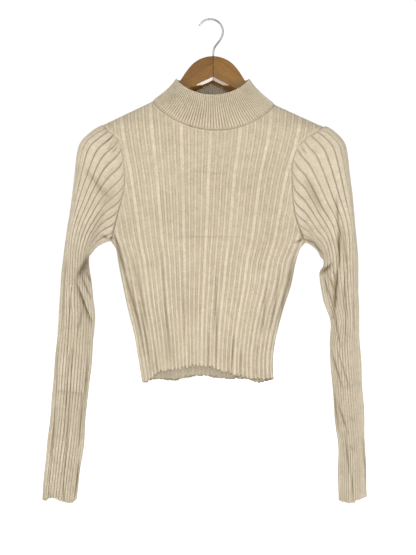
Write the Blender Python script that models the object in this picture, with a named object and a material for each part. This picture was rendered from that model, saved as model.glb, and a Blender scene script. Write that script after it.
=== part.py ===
"""A ribbed mock-neck crop top that hangs on a wooden hanger.

Frame: +Z up, the front of the top faces -Y, +X is to the right seen from the front. The origin is
the inside top of the hook, where a rail carries it. The sizes and tables are in millimetres.

The knit is a wall. Each piece is worked out from a surface function: the front and back panels from
the cloth place (s, z), with s from -1 at the left side seam to 1 at the right one, the sleeves from
sections between their outer and inner edge, and the collar from its base and top ring. The ribs are
raised in the outer points of the wall, over a plain inside.
"""

import bmesh
import bpy
import numpy as np
from math import cos, hypot, pi, radians, sin
from mathutils import Matrix
from mathutils.geometry import delaunay_2d_cdt

MM = 0.001
LEFT, RIGHT = -1, 1        # sides as seen from the front
FRONT, BACK = -1, 1        # sign of Y

# ---- cloth -----------------------------------------------------------------------------------------
WALL = 2.0                 # thickness of the knit between its ribs
SEAM_GAP = 0.3             # between two pieces at a seam
SEAM_MARGIN = 4.0          # ribs run out this far from a seam
HEM_MARGIN = 12.0          # and this far from the hem, where they go on to its edge
ROW_STEP = 48.0            # height of one row of faces on a panel
TOP_ROWS = (0.0, 9.0, 24.0)    # the rows are closer together below its upper edge
INNER_ROW_STEP = 85.0      # the same on the plain inside
CLOTH_SCALE = 170.0        # of s, so that cloth places have about the same scale both ways
SQUEEZE = 1.5              # of the heights, for long triangles along the ribs

# ---- ribs ------------------------------------------------------------------------------------------
PANEL_RIBS = 35            # ribs across one panel, the middle one on s = 0
WIDE_EVERY = 4             # each fourth rib is a wide one
PANEL_RIB_RISE = 1.1
RIB_FADE = 0.35            # of a rib's rise at its end beside a seam
INNER_COLUMNS = np.arange(-16, 17) * 2 / PANEL_RIBS
NARROW_RIB = ((-0.22, 0.0), (0.0, 1.0), (0.22, 0.0))                    # place in the pitch, rise
WIDE_RIB = ((-0.38, 0.0), (-0.24, 1.0), (0.24, 1.0), (0.38, 0.0))
SLEEVE_RIBS = 12           # ribs across one face of a sleeve
SLEEVE_RIB_RISE = 1.6
COLLAR_RIBS = 124          # ribs around the collar
COLLAR_RIB_RISE = 0.6


def table(columns, *rows):
    """A small table as a dictionary: each named column is an array, a row for each entry."""
    return dict(zip(columns.split(), np.array(rows, float).T))


# ---- outline of the body ---------------------------------------------------------------------------
# Neck points and shoulder points: the shoulder seams are straight between them.
NECK_POINT = {LEFT: (-97.4, -136.6), RIGHT: (108.5, -142.3)}

# The armhole seam in the front view at equal steps from the shoulder to the underarm.
ARMHOLE = {
    LEFT: table("x z", (-180, -176), (-171, -187), (-153, -204), (-145, -236), (-143.5, -277),
                (-153.5, -322), (-167, -371)),
    RIGHT: table("x z", (189, -179), (178, -189), (155.5, -204), (138, -235), (136.5, -277),
                 (141, -325), (159, -374)),
}
ARMHOLE_DEPTH = {FRONT: 20.0, BACK: 18.0}

# The side seams below the underarm.
SIDES = table("z left right",
              (-384, -158, 150), (-404, -155, 144), (-445, -147, 135.5), (-485, -138.5, 122.5),
              (-525, -128.5, 112), (-566, -121.5, 105.5), (-610, -114, 106.5))

# The middle rib, and the half width that the ribs of each side take up down to below the underarm.
RIB_FAN = table("z centre left right",
                (-136, 0.7, 222, 222), (-185, 0.7, 214, 214), (-268, -3.4, 186, 187),
                (-327, -5.2, 171, 174), (-372, -7.5, 158, 165), (-404, -9.1, 145.9, 153.1))
RIB_CENTRE_BELOW = table("z x", (-404, -9.1), (-445, -11), (-485, -12.8), (-525, -14), (-610, -15))

# Half thickness of the body, from the shoulders to the hem.
DEPTH = table("z front back", (-136, 24, 22), (-176, 27, 24), (-240, 30, 26), (-374, 32, 28),
              (-485, 30, 27), (-610, 26, 26))
SIDE_ROUNDNESS = 2.6       # exponent of the section: 2 is an ellipse, more is flatter
SEAM_REACH = 5             # exponent: the armhole's own thickness shows only beside it

# Hem height along the panel.
HEM = {
    FRONT: table("s z", (-1, -607), (-0.8, -599), (-0.6, -588), (-0.3, -583), (-0.1, -579),
                 (0.1, -581), (0.35, -590), (0.65, -600), (1, -602)),
    BACK: table("s z", (-1, -607), (-0.6, -605), (0, -601), (0.6, -604), (1, -602)),
}

# ---- neck and collar -------------------------------------------------------------------------------
NECK_DROP = {FRONT: 45.6, BACK: 9.0}     # of the seam below the neck points, in the middle
NECK_SHAPE = 1.6                         # 1 is an elliptical neckline, 2 a parabolic one
NECK_POINTS = 32                         # points along half of the ring
TOP_RING = dict(x=3.9, half_width=60.9, z=-98.3, front_drop=27.5, back_drop=-3.0, front=27.0, back=26.0)
TOP_RING_SHAPE = 1.5
COLLAR_FLARE = 0.10                      # how far the sides of the collar bow in, of their run
COLLAR_ROWS = (0.0, 0.09, 0.38, 0.7, 1.0)

# ---- sleeves ---------------------------------------------------------------------------------------
# A row for each section: its outer and inner edge, the part of the armhole's bow that it keeps, and
# its half thickness. The armhole seam itself is the section before the first row.
SLEEVE = {
    LEFT: table("outer_x outer_z inner_x inner_z bow depth",
                (-187, -179.5, -169.5, -372, 1.00, 21), (-196, -185, -173, -373, 1.03, 23),
                (-206, -193, -178, -374.5, 1.06, 24),
                (-216, -203, -183, -377, 1.08, 25), (-222.5, -217, -188, -380, 1.05, 26),
                (-225.5, -238, -194, -384.5, 1.00, 26), (-227.5, -266, -199, -389.5, 0.90, 26),
                (-232, -303, -204, -395, 0.75, 25), (-238, -345, -206.5, -401, 0.50, 23),
                (-244.5, -387, -205, -412, 0.25, 20), (-248, -425, -202, -433, 0.10, 18),
                (-251.5, -465, -199, -465, 0, 17), (-254.5, -505, -196, -505, 0, 16),
                (-261.5, -586, -201.5, -586, 0, 15), (-268, -672, -210, -672, 0, 15),
                (-274, -722, -215, -722, 0, 14), (-278, -767, -221.5, -767, 0, 14),
                (-281, -804, -226, -807, 0, 14)),
    RIGHT: table("outer_x outer_z inner_x inner_z bow depth",
                 (195, -180, 160.5, -374.5, 1.00, 21), (202, -183.5, 162.5, -375, 1.03, 23),
                 (210.5, -190.5, 165.5, -376, 1.06, 24),
                 (220, -200.5, 169.5, -378, 1.08, 25), (227, -213.5, 174, -381, 1.05, 26),
                 (231, -235, 178.5, -385.5, 1.00, 26), (234, -262, 182.5, -391, 0.90, 26),
                 (238, -299, 187, -398, 0.75, 25), (242, -339, 189, -405, 0.50, 23),
                 (245, -383, 187, -416, 0.25, 20), (247.5, -423, 184.5, -430, 0.10, 18),
                 (248, -465, 190, -467, 0, 17), (248, -505, 203, -505, 0, 15),
                 (249.5, -546, 199.5, -546, 0, 15), (253, -610, 205.5, -610, 0, 14),
                 (256.5, -672, 211, -672, 0, 14),
                 (259.5, -720, 216, -720, 0, 13), (260.5, -764, 216, -764, 0, 13),
                 (261.5, -799, 216, -806, 0, 13)),
}
SLEEVE_ROUNDNESS = 2.4
RIB_CROWDING = 0.35        # how far the ribs close up where a sleeve turns round its edges

# ---- folds -----------------------------------------------------------------------------------------
# Soft troughs, each along a straight line in the front view.
FOLDS = {
    FRONT: table("x0 z0 x1 z1 depth width",
                 (-154, -385, -124, -510, 6.0, 11.0), (140, -405, 118, -500, 6.0, 11.0),
                 (-80, -370, -70, -588, 1.2, 5.0), (-43, -440, -42, -545, 1.2, 5.0),
                 (10, -420, 7, -586, 1.2, 5.0), (93, -437, 86, -520, 1.2, 5.0),
                 (39, -525, 34, -588, 1.2, 5.0),
                 (-178, -268, -152, -312, 4.0, 11.0), (152, -270, 186, -312, 4.0, 11.0),
                 (-206, -400, -221, -428, 6.0, 10.0), (-218, -440, -199, -520, 5.0, 10.0),
                 (192, -402, 214, -450, 6.0, 10.0), (216, -455, 205, -540, 5.0, 10.0),
                 (206, -612, 224, -690, 1.2, 5.0), (-231, -600, -242, -800, 1.2, 5.0)),
    BACK: table("x0 z0 x1 z1 depth width",
                (-148, -405, -122, -510, 4.5, 13.0), (137, -405, 114, -500, 4.5, 13.0),
                (-70, -430, -62, -598, 1.2, 5.0), (-20, -470, -22, -598, 1.2, 5.0),
                (40, -440, 34, -600, 1.2, 5.0), (80, -480, 72, -560, 1.2, 5.0),
                (-206, -396, -223, -440, 5.0, 10.0), (192, -402, 212, -450, 5.0, 10.0),
                (-232, -560, -246, -780, 1.2, 5.0), (228, -560, 240, -760, 1.2, 5.0)),
}
GROOVE_WIDTH = 8.0         # narrower ones are grooves that the inside of the wall doesn't follow
FOLD_LIMIT = 0.5           # a fold takes at most this part of the local half thickness
FOLD_END = 0.35            # part of its depth that a fold keeps at its ends

# ---- hanger ----------------------------------------------------------------------------------------
HANGER_X = 4.7             # mitre of the two halves
HANGER_TILT = 0.8          # degrees, right side down
# Distance from the mitre, top and bottom edge, half thickness.
HANGER = table("out top bottom half",
               (0, -60.8, -101, 6.0), (9, -61.6, -105.5, 6.0), (18, -64.2, -110, 6.0),
               (27, -68.8, -114.6, 6.0), (36, -76.2, -119.2, 6.0), (45, -87.5, -124, 6.0),
               (55, -102.8, -129.5, 6.0), (64, -115, -134.5, 6.0), (76, -126, -141, 6.0),
               (90, -137.6, -150, 6.0), (103, -145.5, -158, 6.0), (130, -159, -172.5, 6.0),
               (158, -173, -186, 5.8), (180, -185, -198, 5.5), (193, -193.5, -205.5, 5.0),
               (202, -201.5, -211, 4.0), (206, -207, -212, 2.5))
TOP_CHAMFER = 0.4          # of the half thickness
BOTTOM_CHAMFER = 0.55

# ---- hook ------------------------------------------------------------------------------------------
WIRE_RADIUS = 1.7
WIRE_SIDES = 10
HOOK_RADIUS = 21.0         # to the middle of the wire
HOOK_FROM, HOOK_TO = 148.0, -24.0    # degrees of its arc, from the tip to the neck
BORE_CLEARANCE = 0.3
SHANK_DEPTH = 28.0         # of the hook in the wood

COLOURS = {
    "cream": ((0.62, 0.52, 0.38, 1.0), 0.9, 0.0),
    "wood": ((0.30, 0.12, 0.03, 1.0), 0.25, 0.0),
    "steel": ((0.72, 0.71, 0.70, 1.0), 0.2, 1.0),
}


# ---- curves ----------------------------------------------------------------------------------------
def smooth(knots, values, at):
    """A smooth curve through the values at the knots, with slopes from their neighbours."""
    knots = np.asarray(knots, float)
    values = np.asarray(values, float)
    if knots[0] > knots[-1]:
        knots, values = knots[::-1], values[::-1]
    at = np.clip(np.asarray(at, float), knots[0], knots[-1])
    slopes = np.gradient(values, knots)
    i = np.clip(np.searchsorted(knots, at, side="right") - 1, 0, len(knots) - 2)
    h = knots[i + 1] - knots[i]
    t = (at - knots[i]) / h
    return ((1 + 2 * t) * (1 - t) ** 2 * values[i] + t * (1 - t) ** 2 * h * slopes[i]
            + t * t * (3 - 2 * t) * values[i + 1] - t * t * (1 - t) * h * slopes[i + 1])


def unit(vectors):
    """The vectors at length one."""
    return vectors / np.linalg.norm(vectors, axis=-1, keepdims=True)


def armhole_xz(side, v):
    """The armhole seam in the front view: v is 0 at the shoulder and 1 at the underarm."""
    steps = np.linspace(0, 1, len(ARMHOLE[side]["x"]))
    return smooth(steps, ARMHOLE[side]["x"], v), smooth(steps, ARMHOLE[side]["z"], v)


def dome(v, roundness):
    """Height of a flat dome over v = 0 to 1, upright at both ends."""
    return np.sqrt(np.clip(1 - np.abs(2 * v - 1) ** roundness, 0, 1))


def fold_depth(face, x, z, limit, inside=False):
    """How far the folds sink the outer face or the inside of the cloth at (x, z), up to a limit."""
    x, z = np.broadcast_arrays(np.asarray(x, float), np.asarray(z, float))
    sunk = np.zeros(x.shape)
    for x0, z0, x1, z1, depth, width in zip(*FOLDS[face].values()):
        if inside and width < GROOVE_WIDTH:
            continue
        along = ((x - x0) * (x1 - x0) + (z - z0) * (z1 - z0)) / ((x1 - x0) ** 2 + (z1 - z0) ** 2)
        on = np.clip(along, 0, 1)
        away = np.hypot(x - x0 - on * (x1 - x0), z - z0 - on * (z1 - z0))
        strength = FOLD_END + (1 - FOLD_END) * np.sin(pi * on)
        sunk = np.maximum(sunk, depth * strength * np.exp(-(away / width) ** 2))
    return np.minimum(sunk, limit)


# ---- front and back panel --------------------------------------------------------------------------
def side_edge(side):
    """The panel's edge from the neck point over the shoulder and armhole to the hem: z, x and depth."""
    column = "left" if side == LEFT else "right"
    v = np.linspace(0, 1, 81)
    arm_x, arm_z = armhole_xz(side, v)
    neck_x, neck_z = NECK_POINT[side]
    shoulder = np.linspace(0, 1, 20, endpoint=False)
    seam_z = np.linspace(SIDES["z"][0], SIDES["z"][-1], 60)
    z = np.concatenate([neck_z + shoulder * (arm_z[0] - neck_z), arm_z, seam_z])
    x = np.concatenate([neck_x + shoulder * (arm_x[0] - neck_x), arm_x,
                        smooth(SIDES["z"], SIDES[column], seam_z)])
    part = np.concatenate([0 * shoulder, dome(v, SLEEVE_ROUNDNESS), 0 * seam_z])
    return z[::-1], x[::-1], part[::-1]


EDGE = {side: side_edge(side) for side in (LEFT, RIGHT)}


def edge_x(side, z):
    """Where the panel ends at height z."""
    return np.interp(z, EDGE[side][0], EDGE[side][1])


def rib_scale(z):
    """The middle rib's x and the half widths of the ribs to its left and right at height z."""
    above = z > RIB_FAN["z"][-1]
    centre = np.where(above, smooth(RIB_FAN["z"], RIB_FAN["centre"], z),
                      smooth(RIB_CENTRE_BELOW["z"], RIB_CENTRE_BELOW["x"], z))
    left = np.where(above, smooth(RIB_FAN["z"], RIB_FAN["left"], z), centre - edge_x(LEFT, z))
    right = np.where(above, smooth(RIB_FAN["z"], RIB_FAN["right"], z), edge_x(RIGHT, z) - centre)
    return centre, left, right


def panel_x(s, z):
    """x of the cloth place s at height z."""
    centre, left, right = rib_scale(z)
    return centre + s * np.where(s < 0, left, right)


def panel_s(x, z):
    """The cloth place at x, the inverse of panel_x."""
    centre, left, right = rib_scale(z)
    return (x - centre) / np.where(x < centre, left, right)


def panel_depth(face, x, z, inside=False):
    """Half thickness of the body at (x, z): round at the sides and shoulders, with its folds."""
    left, right = edge_x(LEFT, z), edge_x(RIGHT, z)
    across = np.clip((2 * x - left - right) / (right - left), -1, 1)
    middle = smooth(DEPTH["z"], DEPTH["front" if face == FRONT else "back"], z)
    left_part, right_part = (np.interp(z, EDGE[side][0], EDGE[side][2]) for side in (LEFT, RIGHT))
    part = np.where(x < (left + right) / 2, left_part, right_part)
    seam = ARMHOLE_DEPTH[face] * part * np.abs(across) ** SEAM_REACH
    full = seam + (middle - seam) * np.sqrt(1 - np.abs(across) ** SIDE_ROUNDNESS)
    return full - fold_depth(face, x, z, FOLD_LIMIT * full, inside)


def panel_point(face, x, z, inside=False):
    """Points of the panel's recessed outer face, at least half a seam gap from the other panel."""
    return np.stack([x, face * (panel_depth(face, x, z, inside) + SEAM_GAP / 2), z], axis=-1)


def panel_inward(face, x, z):
    """Unit vectors from the outer face into the wall."""
    step = 0.4
    towards_middle = np.where(x < (edge_x(LEFT, z) + edge_x(RIGHT, z)) / 2, step, -step)
    across = (panel_point(face, x + towards_middle, z) - panel_point(face, x, z)) / towards_middle[:, None]
    down = (panel_point(face, x, z) - panel_point(face, x, z - step)) / step
    return unit(np.cross(down, across)) * -face


def rib_columns():
    """Cloth places of the points across the ribs, and the rise of the wall at each."""
    columns = []
    for k in range(-(PANEL_RIBS // 2), PANEL_RIBS // 2 + 1):
        profile = WIDE_RIB if k % WIDE_EVERY == 0 else NARROW_RIB
        columns += [((k + place) * 2 / PANEL_RIBS, rise) for place, rise in profile]
    return np.array(columns)


def rib_crowding(turn):
    """Part of the way across a sleeve for the part of its ribs, closer together at the edges."""
    return (1 - RIB_CROWDING) * turn + RIB_CROWDING * (1 - np.cos(pi * turn)) / 2


ARMHOLE_STEPS = rib_crowding(np.linspace(0, 1, 2 * SLEEVE_RIBS + 1))


def armhole_seam(side, face, piece, v=ARMHOLE_STEPS):
    """Outer seam points and wall directions, moved half a gap to the piece's side of the seam.

    piece is -1 for the panel and 1 for the sleeve.
    """
    step = 1e-3
    x, z = armhole_xz(side, v)
    before, after = armhole_xz(side, np.clip(v - step, 0, 1)), armhole_xz(side, np.clip(v + step, 0, 1))
    along = unit(np.stack([after[0] - before[0], after[1] - before[1]], axis=-1))
    speed = np.hypot(after[0] - before[0], after[1] - before[1])
    depth = ARMHOLE_DEPTH[face] * dome(v, SLEEVE_ROUNDNESS)
    deeper = ARMHOLE_DEPTH[face] * (dome(np.clip(v + step, 0, 1), SLEEVE_ROUNDNESS)
                                    - dome(np.clip(v - step, 0, 1), SLEEVE_ROUNDNESS))
    across = np.where((v > 0) & (v < 1), -face * speed, 0)
    wall = unit(np.stack([deeper * along[:, 0], across, deeper * along[:, 1]], axis=-1))
    off_x, off_z = side * -along[:, 1] * piece, side * along[:, 0] * piece
    y = face * (depth + (SEAM_GAP / 2 if piece < 0 else 0))
    points = np.stack([x + off_x * SEAM_GAP / 2, y, z + off_z * SEAM_GAP / 2], axis=-1)
    return points, wall


def neck_seam(face, piece, count=NECK_POINTS):
    """Outer points along one half of the neck seam from left to right, and their wall directions.

    piece is -1 for the panel below the seam and 1 for the collar above it.
    """
    angle = np.linspace(-pi / 2, pi / 2, count + 1)
    (left_x, left_z), (right_x, right_z) = NECK_POINT[LEFT], NECK_POINT[RIGHT]
    x = (left_x + right_x) / 2 + (right_x - left_x) / 2 * np.sin(angle)
    round_part = np.clip(np.cos(angle), 0, 1) ** NECK_SHAPE
    z = left_z + (right_z - left_z) * (1 + np.sin(angle)) / 2 - NECK_DROP[face] * round_part
    y = face * panel_depth(face, x, z)
    ring = np.stack([x, y, z], axis=-1)
    rise = unit(top_ring(face, angle) - ring)
    along = np.gradient(ring, axis=0)
    along[0] = along[-1] = (0, 1, 0)
    along[0] *= face
    along[-1] *= -face
    wall = unit(np.cross(along, rise)) * face
    shifted = ring + rise * piece * SEAM_GAP / 2
    if piece < 0:
        shifted[:, 1] += face * SEAM_GAP / 2
    return shifted, wall


def shoulder_seam(side, face):
    """Seam points from the shoulder to the neck, one on each rib line, and their wall directions."""
    (neck_x, neck_z), arm = NECK_POINT[side], ARMHOLE[side]
    part = np.linspace(0, 1, 100)
    line_x = neck_x + (arm["x"][0] - neck_x) * part
    line_z = neck_z + (arm["z"][0] - neck_z) * part
    places = np.abs(panel_s(line_x, line_z))
    wanted = np.sort(np.abs(rib_columns()[:, 0]))[::-2]
    wanted = wanted[(wanted < places[-1] - 0.01) & (wanted > places[0] + 0.01)]
    x, z = np.interp(wanted, places, line_x), np.interp(wanted, places, line_z)
    slope = unit(np.array([line_x[-1] - line_x[0], line_z[-1] - line_z[0]]))
    wall = np.tile(np.array([slope[1], 0, -slope[0]]) * side, (len(x), 1))
    return np.stack([x, np.full(len(x), face * SEAM_GAP / 2), z], axis=-1), wall


def panel_rim(face):
    """The closed rim of a panel, anticlockwise in the front view, from the left end of the hem.

    It gives the outer points, wall directions, rise of the ribs and number of points along the hem.
    """
    places = rib_columns()
    inside = np.abs(places[:, 0]) < 1
    s = np.concatenate([[-1], places[inside, 0], [1]])
    rise = np.concatenate([[0], places[inside, 1], [0]]) * PANEL_RIB_RISE
    z = smooth(HEM[face]["s"], HEM[face]["z"], s)
    x = panel_x(s, z)
    wall = panel_inward(face, x, z)
    wall[0], wall[-1] = (1, 0, 0), (-1, 0, 0)
    hem = panel_point(face, x, z) - wall * rise[:, None]
    parts = [(hem, wall)]
    for side in (RIGHT, LEFT):
        underarm = ARMHOLE[side]["z"][-1]
        count = round((underarm - z[-1]) / ROW_STEP * 1.5)
        seam_z = np.linspace(z[-1] if side == RIGHT else z[0], underarm, count + 1)[1:-1]
        seam_x = edge_x(side, seam_z)
        lean = (edge_x(side, seam_z + 2) - edge_x(side, seam_z - 2)) / 4
        seam = np.stack([seam_x, np.full(len(seam_z), face * SEAM_GAP / 2), seam_z], axis=-1)
        seam_wall = unit(np.stack([np.full(len(seam_z), -side), 0 * seam_z, side * lean], axis=-1))
        arm, arm_wall = armhole_seam(side, face, -1)
        shoulder, shoulder_wall = shoulder_seam(side, face)
        parts_side = [(seam, seam_wall), (arm[::-1], arm_wall[::-1]), (shoulder, shoulder_wall)]
        if side == RIGHT:
            parts += parts_side
            neckline, neck_wall = neck_seam(face, -1)
            parts.append((neckline[::-1], neck_wall[::-1]))
        else:
            parts += [(points[::-1], walls[::-1]) for points, walls in reversed(parts_side)]
    outer = np.concatenate([points for points, _ in parts])
    walls = np.concatenate([walls for _, walls in parts])
    relief = np.zeros(len(outer))
    relief[:len(hem)] = rise
    return outer, walls, relief, len(hem)


def cloth_plane(points):
    """Cloth places of points, for the triangulation."""
    return np.stack([panel_s(points[:, 0], points[:, 2]) * CLOTH_SCALE, points[:, 2]], axis=-1)


def rim_distance(places, rim):
    """Distance of each place to the closed rim, and whether it is inside it."""
    a, b = rim, np.roll(rim, -1, axis=0)
    p = places[:, None, :]
    ab = b - a
    t = np.clip(((p - a) * ab).sum(-1) / np.maximum((ab ** 2).sum(-1), 1e-12), 0, 1)
    away = np.linalg.norm(p - a - t[..., None] * ab, axis=-1)
    crosses = (a[:, 1] > p[..., 1]) != (b[:, 1] > p[..., 1])
    with np.errstate(divide="ignore", invalid="ignore"):
        at = a[:, 0] + (p[..., 1] - a[:, 1]) / (b[:, 1] - a[:, 1]) * ab[:, 0]
    inside = (crosses & (p[..., 0] < at)).sum(-1) % 2 == 1
    return away, inside


def column_runs(face, s, rim, hem_count, row_step):
    """Heights of the points down one rib line, a list for each part of it that is clear of the rim."""
    z = np.arange(-138.0, HEM[face]["z"].min(), -1.0)
    away, inside = rim_distance(np.stack([np.full(len(z), s * CLOTH_SCALE), z], axis=-1), rim)
    seams, hem = away[:, hem_count - 1:].min(-1), away[:, :hem_count - 1].min(-1)
    clear = inside & (seams > SEAM_MARGIN) & (hem > HEM_MARGIN)
    starts = np.flatnonzero(clear & ~np.roll(clear, 1))
    ends = np.flatnonzero(clear & ~np.roll(clear, -1))
    runs = []
    for start, end in zip(starts, ends):
        near = [step for step in TOP_ROWS if step < end - start - row_step / 2] or [0.0]
        count = max(1, round((end - start - near[-1]) / row_step))
        even = np.linspace(z[start] - near[-1], z[end], count + 1)
        runs.append([z[start] - step for step in near[:-1]] + list(even))
    return runs


def triangulate(rim, columns):
    """Triangles over a closed rim and the columns of points inside it, numbered in this order."""
    points = [(s, z / SQUEEZE) for s, z in np.concatenate([rim] + columns)]
    edges = [(i, (i + 1) % len(rim)) for i in range(len(rim))]
    start = len(rim)
    for column in columns:
        edges += [(start + i, start + i + 1) for i in range(len(column) - 1)]
        start += len(column)
    found, _, faces, sources, _, _ = delaunay_2d_cdt(points, edges, [], 1, 1e-6)
    assert len(found) == len(points), "the rim crosses itself or a column"
    index = [source[0] for source in sources]
    return [[index[i] for i in face] for face in faces]


def cloth_columns(face, places, rim, hem_count, row_step):
    """Columns of cloth places down the lines at the given s, as points of the triangulation's plane."""
    return [np.array([(s * CLOTH_SCALE, z) for z in run])
            for s in places for run in column_runs(face, s, rim, hem_count, row_step)]


def rib_strength(face, column):
    """Part of the rise at each point of a rib line: less beside a seam, all of it at the hem."""
    strength = np.ones(len(column))
    strength[0] = RIB_FADE
    if column[-1, 1] > HEM[face]["z"].max() + ROW_STEP:
        strength[-1] = RIB_FADE
    return strength


def build_panel(name, face, material):
    """One body panel: ribbed outer face, plain inner face and the wall around its rim."""
    rim, walls, relief, hem_count = panel_rim(face)
    plane = cloth_plane(rim)
    plane[0, 0], plane[hem_count - 1, 0] = -CLOTH_SCALE, CLOTH_SCALE

    places, rises = rib_columns().T
    columns = cloth_columns(face, places, plane, hem_count, ROW_STEP)
    outer_faces = triangulate(plane, columns)
    s, z = np.concatenate(columns).T
    s /= CLOTH_SCALE
    x = panel_x(s, z)
    strength = np.concatenate([rib_strength(face, column) for column in columns])
    rise = np.interp(s, places, rises) * PANEL_RIB_RISE * strength
    ribbed = panel_point(face, x, z) - panel_inward(face, x, z) * rise[:, None]

    columns = cloth_columns(face, INNER_COLUMNS, plane, hem_count, INNER_ROW_STEP)
    inner_faces = triangulate(plane, columns)
    s, z = np.concatenate(columns).T
    x = panel_x(s / CLOTH_SCALE, z)
    plain = panel_point(face, x, z, inside=True) + panel_inward(face, x, z) * WALL
    inner_rim = rim + walls * (WALL + relief)[:, None]

    first_inner = len(rim) + len(ribbed)
    faces = outer_faces + [[i + first_inner for i in reversed(f)] for f in inner_faces]
    for i in range(len(rim)):
        j = (i + 1) % len(rim)
        faces.append([j, i, i + first_inner, j + first_inner])
    return make_object(name, np.concatenate([rim, ribbed, inner_rim, plain]), faces, material)


# ---- rings -----------------------------------------------------------------------------------------
def next_turn(turns, i):
    """Turn of the point after number i of a ring: 1 back at its start, and past that once it is done."""
    if i < len(turns):
        return turns[i + 1] if i + 1 < len(turns) else 1.0
    return 9.0


def zip_rings(first, first_turns, second, second_turns):
    """Triangles between two closed rings of point numbers, joined where their turns are nearest."""
    faces = []
    i = j = 0
    while i < len(first) or j < len(second):
        next_i = next_turn(first_turns, i)
        next_j = next_turn(second_turns, j)
        a, b = first[i % len(first)], second[j % len(second)]
        if next_i <= next_j:
            faces.append([a, first[(i + 1) % len(first)], b])
            i += 1
        else:
            faces.append([a, second[(j + 1) % len(second)], b])
            j += 1
    return faces


def ring_walls(rings):
    """Faces of a tube wall through closed rings, each a list of point numbers and their turns.

    The rings go along the outside, over the end, back along the inside and to the start again.
    """
    faces = []
    for (first, first_turns), (second, second_turns) in zip(rings, rings[1:] + rings[:1]):
        faces += zip_rings(first, first_turns, second, second_turns)
    return faces


def build_tube(name, rings, material):
    """A closed wall from rings of points, given as (points, turns)."""
    numbered, start = [], 0
    for points, turns in rings:
        numbered.append((list(range(start, start + len(points))), list(turns)))
        start += len(points)
    return make_object(name, np.concatenate([points for points, _ in rings]), ring_walls(numbered), material)


# ---- collar ----------------------------------------------------------------------------------------
def top_ring(face, angle):
    """The collar's upper edge: the angle is 0 in the middle of the face and 90 degrees at the right."""
    drop = TOP_RING["front_drop" if face == FRONT else "back_drop"]
    round_part = np.clip(np.cos(angle), 0, 1)
    return np.stack([TOP_RING["x"] + TOP_RING["half_width"] * np.sin(angle),
                     face * TOP_RING["front" if face == FRONT else "back"] * round_part,
                     TOP_RING["z"] - drop * round_part ** TOP_RING_SHAPE], axis=-1)


def collar_base():
    """The collar's side of the neck seam, once round: points, wall directions and turns."""
    front, front_wall = neck_seam(FRONT, 1)
    back, back_wall = neck_seam(BACK, 1)
    ring = np.concatenate([front, back[-2:0:-1]])
    wall = np.concatenate([front_wall, back_wall[-2:0:-1]])
    return ring, wall, np.arange(len(ring)) / len(ring)


def collar_point(turn, height):
    """The collar's recessed outer face: turn from the left over the front, height from 0 to 1."""
    ring, _, turns = collar_base()
    closed = np.concatenate([ring, ring[:1]])
    base = np.stack([np.interp(turn % 1, np.append(turns, 1), closed[:, axis]) for axis in range(3)], axis=-1)
    angle = -pi / 2 + 2 * pi * (turn % 1)
    front = turn % 1 <= 0.5
    top = np.where(front[:, None], top_ring(FRONT, angle), top_ring(BACK, pi - angle))
    run = height + COLLAR_FLARE * 4 * height * (1 - height)
    mix = np.array([run, run, height])
    return base + (top - base) * mix


def collar_inward(turn, height):
    """Unit vectors from the collar's outer face into its wall."""
    step = 2e-3
    along = collar_point(turn + step, height) - collar_point(turn - step, height)
    low, high = max(0, height - step), min(1, height + step)
    up = collar_point(turn, high) - collar_point(turn, low)
    return unit(np.cross(up, along))


def build_collar(material):
    """The mock neck: a band of fine ribs from the neck seam to the upper edge."""
    ring, wall, base_turns = collar_base()
    turns = np.arange(2 * COLLAR_RIBS) / (2 * COLLAR_RIBS)
    rise = np.where(np.arange(2 * COLLAR_RIBS) % 2 == 0, 0.0, COLLAR_RIB_RISE)
    rings = [(ring, base_turns)]
    for height in COLLAR_ROWS[1:]:
        outer = collar_point(turns, height) - collar_inward(turns, height) * rise[:, None]
        rings.append((outer, turns))
    for height in COLLAR_ROWS[:0:-1]:
        inner = collar_point(base_turns, height) + collar_inward(base_turns, height) * WALL
        rings.append((inner, base_turns))
    rings.append((ring + wall * WALL, base_turns))
    return build_tube("collar", rings, material)


# ---- sleeves ---------------------------------------------------------------------------------------
def sleeve_point(side, row, v, face, inside):
    """The sleeve's recessed outer face: row counts the sections, v goes from outer to inner edge."""
    rows = SLEEVE[side]
    numbers = np.arange(len(rows["bow"]))
    read = {name: smooth(numbers, column, row) for name, column in rows.items()}
    arm_x, arm_z = armhole_xz(side, v)
    ends = armhole_xz(side, np.array([0.0, 1.0]))
    bow_x = arm_x - ends[0][0] - (ends[0][1] - ends[0][0]) * v
    bow_z = arm_z - ends[1][0] - (ends[1][1] - ends[1][0]) * v
    x = read["outer_x"] + (read["inner_x"] - read["outer_x"]) * v + read["bow"] * bow_x
    z = read["outer_z"] + (read["inner_z"] - read["outer_z"]) * v + read["bow"] * bow_z
    full = read["depth"] * dome(v, SLEEVE_ROUNDNESS)
    y = face * (full - fold_depth(face, x, z, FOLD_LIMIT * full, inside))
    return np.stack([x, y, z], axis=-1)


def sleeve_ring(side, row, turn, inside=False):
    """Points once round a section: turn 0 at the outer edge, over the front to the inner edge at 0.5."""
    half = np.where(turn <= 0.5, 2 * turn, 2 - 2 * turn)
    v = rib_crowding(half)
    front = sleeve_point(side, row, v, FRONT, inside)
    back = sleeve_point(side, row, v, BACK, inside)
    return np.where((turn <= 0.5)[:, None], front, back)


def sleeve_inward(side, row, turn):
    """Unit vectors from the sleeve's outer face into its wall."""
    step = 4e-3
    last = len(SLEEVE[side]["bow"]) - 1
    along = sleeve_ring(side, row, (turn + step) % 1) - sleeve_ring(side, row, (turn - step) % 1)
    low, high = max(0, row - 0.1), min(last, row + 0.1)
    down = sleeve_ring(side, high, turn) - sleeve_ring(side, low, turn)
    return unit(np.cross(along, down)) * -side


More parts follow.
